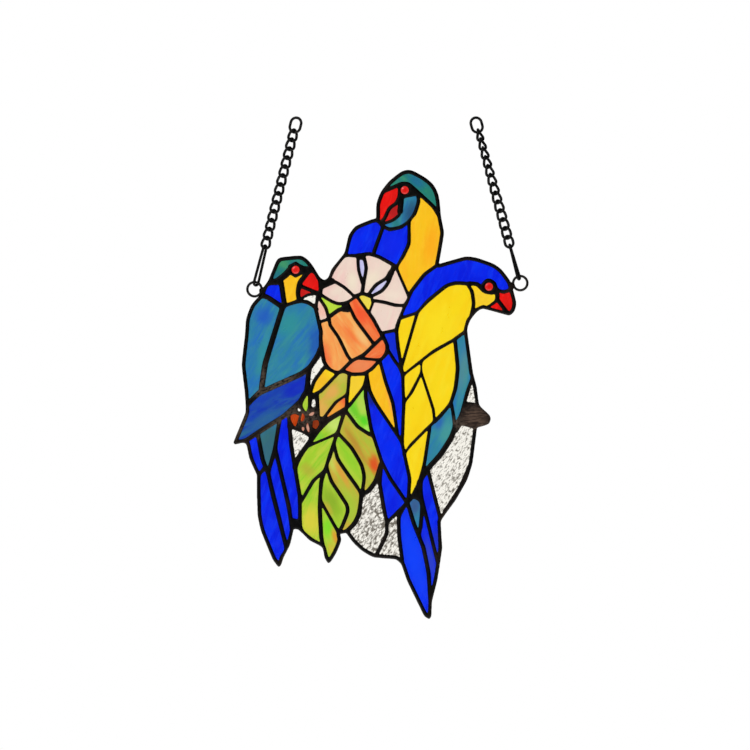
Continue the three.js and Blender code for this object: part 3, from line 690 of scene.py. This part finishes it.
LEANS = {
    "left_bird_outer_wing": 32, "left_bird_inner_wing": 42, "left_bird_wing_band": 58, "left_bird_crown": 50,
    "bell_left": -14, "bell_middle": -36, "bell_right": -34, "bell_lip_right": 62, "bell_lip_left": 75,
    "leaf_left": 40, "leaf_top_left": 60, "leaf_middle": -30, "leaf_right": -32, "leaf_upper_middle": -35,
    "leaf_lower_middle": -25, "leaf_tip": -20, "sepal_wide": 45, "sepal_left": 40, "bell_frond": -30,
    "top_bird_back": 8, "right_bird_wing_tip": 8, "right_bird_thigh": 25, "top_bird_crown": -45,
}
USUAL_LEAN = 18

# Swirls: colour, place across and down in mm, half sizes in mm, lean in degrees
SWIRLS = {
    "left_bird_inner_wing": [
        ((32, 86, 178), (-56, 178), (9, 22), 10),
        ((48, 146, 146), (-78, 164), (10, 16), 40),
    ],
    "left_bird_outer_wing": [
        ((34, 92, 190), (-98, 158), (10, 9), 40),
        ((50, 144, 152), (-98, 188), (5, 24), 14),
    ],
    "left_bird_wing_band": [
        ((40, 96, 150), (-97, 241), (22, 7), -34),
        ((14, 36, 192), (-72, 215), (18, 9), -30),
    ],
    "left_bird_tail_wedge": [((52, 100, 108), (-95, 262), (18, 28), 20)],
    "left_bird_crown": [
        ((34, 112, 128), (-90, 127), (8, 6), 30),
        ((66, 150, 104), (-82, 116), (7, 4), 40),
    ],
    "top_bird_crown": [
        ((30, 106, 146), (25, 50), (10, 6), 30),
        ((34, 124, 112), (37, 62), (6, 10), -20),
    ],
    "top_bird_cheek": [
        ((34, 74, 116), (20, 75), (8, 13), 20),
        ((40, 124, 122), (8, 84), (10, 4), 60),
    ],
    "top_bird_back": [((252, 172, 24), (36, 101), (8, 22), 8)],
    "top_bird_inner_wing": [((6, 36, 236), (6, 100), (11, 14), 20)],
    "top_bird_tail_root": [((12, 42, 206), (5, 180), (12, 14), 0)],
    "top_bird_tail_middle": [((20, 32, 104), (-13, 222), (3.5, 11), -15)],
    "right_bird_face": [((247, 202, 46), (77, 143), (13, 12), 0)],
    "right_bird_wing": [((251, 222, 30), (40, 165), (14, 20), 20)],
    "right_bird_thigh": [
        ((40, 92, 180), (43, 244), (5, 7), 20),
        ((70, 156, 148), (49, 250), (8, 14), 20),
    ],
    "right_bird_wing_tip": [((80, 142, 142), (62, 200), (6, 24), 8)],
    "right_bird_tail_short": [((58, 86, 138), (23, 310), (6, 10), 0)],
    "right_bird_tail_long": [((6, 66, 252), (22, 350), (12, 44), -13)],
    "right_bird_tail_middle": [((44, 64, 198), (35.6, 352), (4, 22), -12)],
    "right_bird_tail_right": [((26, 46, 192), (41, 339), (5, 14), -8)],
    "bell_left": [((244, 108, 62), (-49, 189), (6, 13), -18)],
    "bell_middle": [
        ((246, 194, 122), (-19, 175), (4, 11), -36),
        ((247, 124, 62), (-28, 173), (3, 13), -36),
    ],
    "bell_right": [((244, 84, 46), (-20, 157), (6, 10), -34)],
    "bell_frond": [
        ((188, 214, 84), (-19, 229), (5, 14), -10),
        ((108, 202, 46), (-26, 233), (4, 9), -35),
        ((74, 212, 34), (-17.5, 241), (4, 6), -30),
        ((176, 236, 92), (-15.2, 248), (4, 4), 0),
    ],
    "blossom_top_left": [((240, 227, 203), (-27, 130), (6, 11), 0)],
    "blossom_top_right": [((242, 227, 203), (-11, 129), (7, 11), 30)],
    "blossom_right": [((242, 224, 206), (6.5, 141), (10, 5), 0)],
    "blossom_left": [((240, 221, 203), (-39, 137.5), (9, 4), -30)],
    "blossom_bud": [((243, 188, 170), (-51, 153), (8, 8), 0)],
    "sepal_middle": [((245, 206, 54), (-24, 212), (8, 13), 0)],
    "sepal_left": [((246, 186, 40), (-52, 210), (9, 12), 40)],
    "sepal_wide": [
        ((230, 172, 84), (-52, 232), (8, 12), 0),
        ((232, 170, 88), (-43, 219), (6, 10), 45),
        ((204, 194, 80), (-36, 206), (7, 7), 45),
    ],
    "sepal_bud": [((243, 172, 58), (-42, 232), (14, 10), 50)],
    "sepal_right": [((252, 170, 62), (3.4, 226), (2.2, 22), -13)],
    "bell_lip_left": [((239, 140, 88), (-20, 197.5), (14, 9), 0)],
    "leaf_top_left": [
        ((130, 208, 50), (-54, 253), (8, 5), 60),
        ((204, 230, 116), (-42, 243), (12, 9), 50),
    ],
    "leaf_left": [((180, 178, 56), (-62, 281), (8, 6), 40)],
    "leaf_lower_left": [((222, 208, 62), (-60, 322), (12, 16), 0)],
    "leaf_middle": [
        ((164, 200, 56), (-30, 308), (9, 22), -20),
        ((204, 214, 90), (-43, 274), (4, 12), -20),
        ((226, 156, 62), (-35.2, 284), (3.4, 15), -30),
    ],
    "leaf_upper_middle": [((146, 208, 44), (-28, 274), (5, 18), -30)],
    "leaf_lower_middle": [
        ((140, 174, 42), (-44, 306), (8, 18), -25),
        ((196, 176, 58), (-47, 312), (4, 8), -25),
    ],
    "leaf_tip": [
        ((122, 222, 38), (-47, 327), (5, 11), 0),
        ((226, 150, 46), (-40.4, 335), (3, 9), -18),
        ((206, 188, 58), (-43.5, 344), (5, 6), 0),
    ],
    "leaf_right": [
        ((190, 138, 50), (-24, 261), (4, 24), -30),
        ((226, 50, 26), (-9.2, 276.5), (5.8, 10), -12),
    ],
}
SWIRL_STRENGTH = 0.85

# Tints round the point inside a small piece: colour and half size in mm.
# An eye has a painted reflection, a pale red ring at its edge, and is bright red in its middle.
EYE_REFLECTION_RING_AND_CORE = [((240, 70, 60), 4.2), ((212, 0, 0), 3.1)]
TINTS = {
    "blossom_leaf": [((192, 226, 66), 10)],
    "blossom_heart": [((234, 218, 84), 10)],
    "left_bird_lower_beak": [((190, 26, 22), 9)],
    "top_bird_lower_beak": [((172, 28, 30), 9)],
    "branch_amber_knot": [((128, 48, 14), 6)],
    "branch_amber_fleck": [((212, 164, 142), 4)],
    "branch_amber_reed": [((212, 164, 142), 4)],
    "branch_amber_bead": [((206, 150, 126), 4)],
}
for name, (_, across, down) in SMALL_PIECES.items():
    tints = EYE_REFLECTION_RING_AND_CORE if name.endswith("_eye") else TINTS.get(name, [])
    for shade, half in tints:
        SWIRLS.setdefault(name, []).append((shade, (across, down), (half, half), 0))
print(len(GLASS), "coloured sheets,", sum(map(len, SWIRLS.values())), "swirls")

# %% Helpers for patterns
OVAL_EDGE = (0.2, 1.2)
OVAL_UNEVEN = 0.9
OVAL_DEPTH = 1000


def blend(paint, factor, low, high):
    """One colour where the factor is 0 and another where it is 1."""
    return paint.node("ShaderNodeMix", {"data_type": "RGBA"}, {0: factor, 6: low, 7: high}, out=2)


def ramp(paint, value, low, high):
    """A value turned into a mask: 0 under low, 1 over high, and a soft rise between."""
    sockets = {"Value": value, "From Min": low, "From Max": high}
    return paint.node("ShaderNodeMapRange", {"interpolation_type": "SMOOTHSTEP"}, sockets)


def turned(paint, centre, lean, sizes):
    """Places measured from a centre, along axes that lean to the right, in steps of given sizes in mm."""
    sockets = {
        "Vector": paint.node("ShaderNodeTexCoord", out="Object"),
        "Location": Vector(centre) * MM,
        "Rotation": (0, math.radians(lean), 0),
        "Scale": Vector(sizes) * MM,
    }
    return paint.node("ShaderNodeMapping", {"vector_type": "TEXTURE"}, sockets)


def noise(paint, places, detail=2.0, distortion=0.0):
    """A cloudy pattern between 0 and 1, one half on the whole."""
    sockets = {"Vector": places, "Scale": 1.0, "Detail": detail, "Distortion": distortion}
    return paint.node("ShaderNodeTexNoise", {}, sockets, out="Fac")


def oval(paint, place, half, lean, uneven):
    """A mask that is 1 in the middle of an oval and fades out unevenly towards its edge."""
    places = turned(paint, (place[0], 0, -place[1]), lean, (half[0], OVAL_DEPTH, half[1]))
    away = paint.node("ShaderNodeVectorMath", {"operation": "LENGTH"}, {0: places}, out="Value")
    return 1 - ramp(paint, away + OVAL_UNEVEN * (uneven - HALF), *OVAL_EDGE)


def bumps(paint, height, strength, depth):
    """A normal that follows fine relief of a given depth in mm."""
    sockets = {"Strength": strength, "Distance": depth * MM, "Height": height}
    return paint.node("ShaderNodeBump", {}, sockets, out="Normal")


def surface(paint, sockets):
    """The finished material, from the values and links of its shader's sockets."""
    shader = paint.node("ShaderNodeBsdfPrincipled", {}, sockets)
    paint.node("ShaderNodeOutputMaterial", {}, {"Surface": shader})
    return paint.owner


print("patterns at hand: ramps, stretched noise, ovals and bumps")

# %% Coloured glass
SHEET_STEP = 310
CLOUD_SIZE = (5, 5, 9)
BROAD_RISE = (0.42, 0.62)
CLOUD_RISE = (0.5, 0.68)
FINE_RISE = (0.48, 0.66)
CLOUD_SHARE = 0.6
FINE_SHARE = 0.75
LEAST_LIGHT = 0.92
CLOUD_LIGHT = 0.16
THROUGH_LIGHT = 1.0
GLASS_BENDING = 1.5
SHINE = 0.1
COAT = 0.2


def coloured_glass(name, kind, number):
    paint = Paint(bpy.data.materials.new("glass_" + name))
    main, broad, fine = (srgb(*colour) for colour in GLASS[kind])
    long, wide = STREAK_SIZES.get(kind, USUAL_STREAK)
    lean = LEANS.get(name, USUAL_LEAN)
    corner = (SHEET_STEP * number, 2 * SHEET_STEP * number, SHEET_STEP * number)
    finer = (wide / 3, wide / 3, long / 2)
    swirling = noise(paint, turned(paint, corner, lean, (wide, wide, long)), detail=3, distortion=0.6)
    streaking = noise(paint, turned(paint, corner, lean, finer), detail=4, distortion=0.3)
    clouding = noise(paint, turned(paint, corner, lean, CLOUD_SIZE), detail=3)
    colour = blend(paint, ramp(paint, swirling, *BROAD_RISE), main, broad)
    colour = blend(paint, CLOUD_SHARE * ramp(paint, clouding, *CLOUD_RISE), colour, broad)
    colour = blend(paint, FINE_SHARE * ramp(paint, streaking, *FINE_RISE), colour, fine)
    for shade, place, half, swirl_lean in SWIRLS.get(name, []):
        mask = oval(paint, place, half, swirl_lean, 0.6 * streaking + 0.4 * clouding)
        colour = blend(paint, SWIRL_STRENGTH * mask, colour, srgb(*shade))
    light = LEAST_LIGHT + CLOUD_LIGHT * clouding
    colour = paint.node("ShaderNodeHueSaturation", {}, {"Value": light, "Color": colour})
    return surface(paint, {
        "Base Color": colour,
        "Roughness": 0.22 + 0.2 * clouding,
        "IOR": GLASS_BENDING,
        "Specular IOR Level": SHINE,
        "Transmission Weight": THROUGH_LIGHT,
        "Coat Weight": COAT,
        "Coat Roughness": 0.04,
        "Normal": bumps(paint, clouding, strength=0.12, depth=0.2),
    })


print("coloured glass lets light through with a weight of", THROUGH_LIGHT)

# %% [markdown]
# ## Clear pebbled glass
# The panes that fill the outline are clear and rolled against a pebbled roller. The pebbles are real relief
# here: ripples of two sizes, drawn out along a slant, with valleys between them. In the valleys the glass
# bends light away so steeply that they look dark, but a white room gives that no contrast, so the depth of
# the valleys is kept as an attribute of the mesh, and the shader darkens its colour by it: painted shade.
# The panes at the bottom look darker than the rest and those beside the flowers paler, so a wide oval for
# each shifts the painted shade.

# %% Pebbles
PEBBLE_SIZE = 0.8
PEBBLE_HEIGHT = 0.34
PEBBLE_LEAN = 35
PEBBLE_STRETCH = 2.2
PEBBLE_WARP = 0.6
PEBBLE_WARP_SIZE = 2.6
SHADE_NOISE_SIZE = (1.6, 1.6, 2.6)
HEAVY_PLACE = (-8, 325)
HEAVY_HALF = (40, 40)
HEAVY_SHADE = 0.22
PALE_PLACE = (-57, 172)
PALE_HALF = (16, 52)
PALE_SHADE = 0.3
VALLEY_RISE = (0.36, 1.05)
VALLEY_UNEVEN = 0.3


def pebbles(x, z):
    """Heights of the pebbled face from 0, in a valley, to 1, on a pebble."""
    lean = math.radians(PEBBLE_LEAN)
    along = (x * math.sin(lean) + z * math.cos(lean)) / PEBBLE_STRETCH
    aside = x * math.cos(lean) - z * math.sin(lean)
    warp = PEBBLE_WARP * ripple(aside, along, PEBBLE_WARP_SIZE, 31)
    large = ripple(aside + warp, along, PEBBLE_SIZE, 32)
    small = ripple(aside, along + warp, PEBBLE_SIZE / 2, 33)
    return np.clip(0.5 + 0.5 * large + 0.25 * small, 0, 1)


def clear_glass():
    paint = Paint(bpy.data.materials.new("glass_clear"))
    depth = paint.node("ShaderNodeAttribute", {"attribute_name": "valley"}, out="Fac")
    uneven = noise(paint, turned(paint, (0, 0, 0), PEBBLE_LEAN, SHADE_NOISE_SIZE), detail=3)
    heavy = oval(paint, HEAVY_PLACE, HEAVY_HALF, 0, uneven)
    pale = oval(paint, PALE_PLACE, PALE_HALF, 0, uneven)
    # Painted shade: the colour is darkened in the valleys, more in the bottom panes and less by the flowers,
    # in place of the dark that refraction gives.
    shade = depth + VALLEY_UNEVEN * (uneven - HALF) + HEAVY_SHADE * heavy - PALE_SHADE * pale
    dark = ramp(paint, shade, *VALLEY_RISE)
    colour = blend(paint, dark, srgb(244, 241, 232), srgb(108, 102, 92))
    return surface(paint, {
        "Base Color": colour,
        "Roughness": 0.04,
        "IOR": GLASS_BENDING,
        "Transmission Weight": THROUGH_LIGHT,
    })


clear_paint = clear_glass()
print("pebbles reach", PEBBLE_HEIGHT, "mm above their valleys")

# %% [markdown]
# ## Cutting the pieces
# Each piece is a plate on its own small grid. Coloured glass needs only a coarse grid for its gentle waves;
# the pebbled panes need a fine one. The eyes are not flat: they are round drops of red glass, made later.

# %% Plates of glass
SHEET_CELL = 1.2
CLEAR_CELL = 0.3
UNDER_BEAD = 1.1
WAVE_SIZES = {14: 0.07, 4: 0.025}


def waves(x, z, seed):
    return sum(height * ripple(x, z, size, seed + size) for size, height in WAVE_SIZES.items())


def cut_piece(name, kind, number):
    """One plate of glass with its finish, which takes the place of its solid if it has one."""
    cell = CLEAR_CELL if kind == "clear" else SHEET_CELL
    reach = UNDER_BEAD if name in solids else UNDER_BEAD / 2
    field, start = stencil([outlines[name]], cell / 2)
    field = blur(grow(field, round(2 * reach / cell)), 1)
    field, start = field[::2, ::2], start - cell / 4
    relief = (lambda x, z: PEBBLE_HEIGHT * (pebbles(x, z) - 0.5)) if kind == "clear" else (lambda x, z: 0)
    piece = add_plate(
        name + "_glass",
        field,
        start,
        cell,
        lambda points, x, z: GLASS_FACE + waves(x, z, 3 * number) + relief(x, z),
        lambda points, x, z: GLASS_FACE + waves(x, z, 3 * number + 1),
        sharp=50,
    )
    if kind == "clear":
        # The depth of the valleys is kept for the painted shade in the clear glass's colour.
        places = np.array([v.co for v in piece.data.vertices]) / MM
        valley = piece.data.attributes.new("valley", "FLOAT", "POINT")
        valley.data.foreach_set("value", 1 - pebbles(places[:, 0], places[:, 2]))
    piece.data.materials.append(clear_paint if kind == "clear" else coloured_glass(name, kind, number))
    "glass_" + kind
    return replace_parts(piece, name) if name in solids else piece


glass_pieces = [
    cut_piece(name, kind, number)
    for number, (name, kind) in enumerate(sorted(kinds.items()))
    if not name.endswith("_eye")
]
print(len(glass_pieces), "plates,", sum(len(piece.data.polygons) for piece in glass_pieces), "triangles")

# %% [markdown]
# ## Eyes
# Each eye is a round drop of red glass with a domed front, set in a ring of solder. It is turned from a
# half profile, as on a lathe, and its dome catches the lamp.

# %% Drops of red glass
EYE_RADIUS = 3.7
EYE_DOME = 1.7
EYE_RIM = 1.1
EYE_BULGE = 0.1
EYE_SIDES = 48
DOME_STEPS = 12


def lathe(profile, sides):
    """Points and faces of a profile of (radius, place along Y) turned about Y; its ends lie on Y."""
    angles = np.linspace(0, 2 * np.pi, sides, endpoint=False)
    circle = np.stack([np.cos(angles), np.zeros(sides), np.sin(angles)], 1)
    rings = [r * circle + (0, y, 0) for r, y in profile[1:-1]]
    points = np.concatenate([[(0, profile[0][1], 0)], *rings, [(0, profile[-1][1], 0)]])
    last = len(points) - 1
    here = np.arange(sides)
    there = np.roll(here, -1)
    faces = [(0, a + 1, b + 1) for a, b in zip(here, there)]
    for ring in range(len(rings) - 1):
        low, high = 1 + ring * sides, 1 + (ring + 1) * sides
        faces += [(a + low, a + high, b + high) for a, b in zip(here, there)]
        faces += [(a + low, b + high, b + low) for a, b in zip(here, there)]
    end = last - sides
    faces += [(last, b + end, a + end) for a, b in zip(here, there)]
    return points, faces


dome = [(math.sin(a), math.cos(a)) for a in np.linspace(0, math.pi / 2, DOME_STEPS)]
profile = [(EYE_RADIUS * r, -EYE_RIM - EYE_DOME * y) for r, y in dome]
profile += [(EYE_RADIUS, GLASS_FACE), (0, GLASS_FACE + EYE_BULGE)]
for number, (name, (kind, across, down)) in enumerate(SMALL_PIECES.items()):
    if name.endswith("_eye"):
        points, faces = lathe(profile, EYE_SIDES)
        eye = add_piece(name + "_glass", points + (across, 0, -down), faces, sharp=50)
        eye.data.materials.append(coloured_glass(name, kind, number))
        "glass_" + kind
print("eyes stand", round(EYE_RIM + EYE_DOME - GLASS_FACE, 2), "mm above the glass")

# %% [markdown]
# ## Wire
# Rings, hooks, chain links and the links at the top are all closed loops of round wire. Each lies on the
# straight line from its ring to its hanging point, so one function draws a loop on that line: two half
# rounds joined by straight legs, turned about the line and twisted along it. Twisted links lie flat
# against each other, as in every curb chain. The solids give the line and where each piece starts and ends.
# Black lacquer makes all of the wire a little thicker.

# %% Loops of wire
RING_WIRE = 1.8
CHAIN_WIRE = 2.0
HOOK_WIRE = 2.0
LINK_WIDTH = 8.6
SAMPLE_LENGTH = 11.4
LINK_COUNT = 13
LINK_TWIST = math.radians(45)
LINK_TURNS = {"left": np.radians((25.2, 25.2)), "right": np.radians((0, 60))}
HOOK_WIDTH = 6.8
HOOK_TURNS = {"left": math.radians(54), "right": math.radians(75.6)}
HOOK_TWIST = math.radians(11)
END_LINK_WIDTH = 11
WIRE_SIDES = 12
ROUND_STEPS = 20
LEG_STEPS = 6
LACQUER = 0.12
CLOSE = 0.001


def loop_line(width, length, wire, turn=0.0, twist=0.0):
    """The middle line of a loop whose long way is Z, with its centre at the origin, in mm."""
    radius = (width - wire) / 2
    leg = (length - width) / 2
    angles = np.linspace(0, np.pi, ROUND_STEPS)
    half = np.stack([radius * np.cos(angles), radius * np.sin(angles) + leg], 1)
    legs = np.linspace(leg, -leg, LEG_STEPS + 2)[1:-1]
    down = np.stack([np.full(LEG_STEPS, -radius), legs], 1)
    flat = np.concatenate([half, down, -half, -down])
    flat = flat[np.hypot(*(np.roll(flat, -1, 0) - flat).T) > CLOSE]
    spin = turn + twist * flat[:, 1] / (length / 2)
    return np.stack([flat[:, 0] * np.cos(spin), flat[:, 0] * np.sin(spin), flat[:, 1]], 1)


def tube(line, wire):
    """Points and faces of round wire along a closed line round the origin."""
    tangent = np.roll(line, -1, 0) - np.roll(line, 1, 0)
    aside = np.cross(tangent, line)
    aside /= np.linalg.norm(aside, axis=1, keepdims=True)
    outward = np.cross(aside, tangent)
    outward /= np.linalg.norm(outward, axis=1, keepdims=True)
    angles = np.linspace(0, 2 * np.pi, WIRE_SIDES, endpoint=False)[None, :, None]
    points = line[:, None] + wire / 2 * (np.cos(angles) * outward[:, None] + np.sin(angles) * aside[:, None])
    ids = np.arange(len(line) * WIRE_SIDES).reshape(len(line), WIRE_SIDES)
    ahead, beside = np.roll(ids, -1, 0), np.roll(ids, -1, 1)
    faces = np.stack([ids, beside, np.roll(ahead, -1, 1), ahead], 2)
    return points.reshape(-1, 3), faces.reshape(-1, 4)


def join(parts):
    """Several sets of points and faces as one."""
    starts = np.cumsum([0] + [len(points) for points, _ in parts[:-1]])
    faces = [faces + start for (_, faces), start in zip(parts, starts)]
    return np.concatenate([points for points, _ in parts]), np.concatenate(faces)


sample_line = loop_line(LINK_WIDTH, SAMPLE_LENGTH, CHAIN_WIRE, 0, LINK_TWIST)
print("one link is", np.ptp(tube(sample_line, CHAIN_WIRE)[0], axis=0).round(1), "mm")

# %% Hanging both sides
def hang(side):
    """The ring, hook, chain and upper link of one side."""
    ring = middle(side + "_ring")
    along = middle(side + "_end_link") - ring
    along /= np.linalg.norm(along)
    axes = np.array([(along[2], 0, -along[0]), (0, 1, 0), along])

    def span(node):
        """How far above the ring a solid starts and ends, along the line."""
        way = (np.array([v.co for v in solids[node].data.vertices]) / MM - ring) @ along
        return way.min(), way.max()

    def wire_loop(low, high, width, wire, turn=0.0, twist=0.0):
        points, faces = tube(loop_line(width, high - low, wire, turn, twist), wire + 2 * LACQUER)
        return points @ axes + ring + along * (low + high) / 2, faces

    def piece(name, slot, *parts):
        made = add_piece(f"{side}_{name}_wire", *join(parts))
        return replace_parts(made, f"{side}_{name}")

    low, high = span(f"{side}_chain")
    ends = span(f"{side}_end_link")
    hook = span(f"{side}_hook")
    ring_size = 2 * span(f"{side}_ring")[1]
    length = (high - low + 2 * CHAIN_WIRE * (LINK_COUNT - 1)) / LINK_COUNT
    pitch = length - 2 * CHAIN_WIRE
    starts = low + pitch * np.arange(LINK_COUNT)
    turns = np.linspace(*LINK_TURNS[side], LINK_COUNT)
    links = [
        wire_loop(start, start + length, LINK_WIDTH, CHAIN_WIRE, turn, LINK_TWIST)
        for start, turn in zip(starts, turns)
    ]
    end_turn = turns[-1] + LINK_TWIST - math.pi / 2
    return [
        piece("ring", "ring_wire", wire_loop(-ring_size / 2, ring_size / 2, ring_size, RING_WIRE)),
        piece("hook", "chain_wire", wire_loop(*hook, HOOK_WIDTH, HOOK_WIRE, HOOK_TURNS[side], HOOK_TWIST)),
        piece("chain", "chain_wire", *links),
        piece("end_link", "chain_wire", wire_loop(*ends, END_LINK_WIDTH, CHAIN_WIRE, end_turn)),
    ]


wires = hang("left") + hang("right")
print(len(wires), "pieces of wire,", sum(len(piece.data.polygons) for piece in wires), "faces")

# %% [markdown]
# ## The finish of metal
# Solder is rubbed with a black patina. It stays a little brown, wears through to grey on a few high spots,
# and is slightly rough, with a dull shine. The stump of the branch is left brown. The wire is lacquered
# black. Worn places are ovals on the panel, broken up by noise.

# %% Patinated solder
WORN_PLACES = [
    ((-89, 244.6), (32, 4), -38),
    ((-84, 211.4), (24, 4), -23),
    ((-98.8, 208), (4, 16), 12),
    ((-116, 244.6), (4, 16), 19),
    ((-65, 239), (16, 10), 0),
    ((58, 244), (8, 6), 40),
]
MOTTLE_SIZE = (2.2, 2.2, 2.2)
PATCH_START = (500, 0, 0)
PATCH_SIZE = (26, 26, 26)
GRAIN_SIZE = (0.9, 0.9, 8)
GRAIN_LEAN = 86
WORN_SHARE = 0.85
BROWN_SHARE = 0.7
STUMP_SPREAD = 1.15
BLACK = srgb(6, 5, 5), srgb(20, 16, 14)
BROWN = srgb(44, 30, 22)
BARE = srgb(100, 86, 74)
BARK = srgb(58, 43, 36), srgb(112, 90, 76)


def patinated_solder():
    paint = Paint(bpy.data.materials.new("patinated_solder"))
    mottle = noise(paint, turned(paint, (0, 0, 0), 0, MOTTLE_SIZE), detail=4)
    patch = noise(paint, turned(paint, PATCH_START, 0, PATCH_SIZE), detail=2)
    grain = noise(paint, turned(paint, (0, 0, 0), GRAIN_LEAN, GRAIN_SIZE), detail=4, distortion=0.4)
    colour = blend(paint, ramp(paint, mottle, 0.35, 0.75), *BLACK)
    colour = blend(paint, BROWN_SHARE * ramp(paint, patch, 0.5, 0.7), colour, BROWN)
    for place, half, lean in WORN_PLACES:
        worn = oval(paint, place, half, lean, patch)
        colour = blend(paint, WORN_SHARE * (worn * ramp(paint, mottle, 0.3, 0.6)), colour, BARE)
    stump = oval(paint, STUMP_CENTRE * (1, -1), STUMP_HALF * STUMP_SPREAD, 0, mottle)
    bark = blend(paint, ramp(paint, grain, 0.36, 0.64), *BARK)
    colour = blend(paint, stump, colour, bark)
    return surface(paint, {
        "Base Color": colour,
        "Roughness": 0.34 + 0.3 * mottle + 0.2 * stump,
        "Metallic": 0.7,
        "Normal": bumps(paint, mottle, strength=0.25, depth=0.15),
    })


leadwork.data.materials.append(patinated_solder())
print("solder worn in", len(WORN_PLACES), "places")

# %% Lacquered wire
LACQUER_SPECKS = (1.6, 1.6, 1.6)


def lacquered_wire(name, dark, light):
    paint = Paint(bpy.data.materials.new(name))
    mottle = noise(paint, turned(paint, (0, 0, 0), 0, LACQUER_SPECKS), detail=4)
    colour = blend(paint, ramp(paint, mottle, 0.45, 0.75), srgb(*dark), srgb(*light))
    return surface(paint, {
        "Base Color": colour,
        "Roughness": 0.3 + 0.25 * mottle,
        "Metallic": 0.5,
        "Normal": bumps(paint, mottle, strength=0.15, depth=0.1),
    })


chain_paint = lacquered_wire("black_wire", (12, 12, 12), (40, 38, 36))
ring_paint = lacquered_wire("dark_ring", (20, 19, 18), (58, 54, 50))
for piece in wires:
    piece.data.materials.append(ring_paint if piece.name.endswith("ring_wire") else chain_paint)
print("wire painted:", [piece.name for piece in wires])
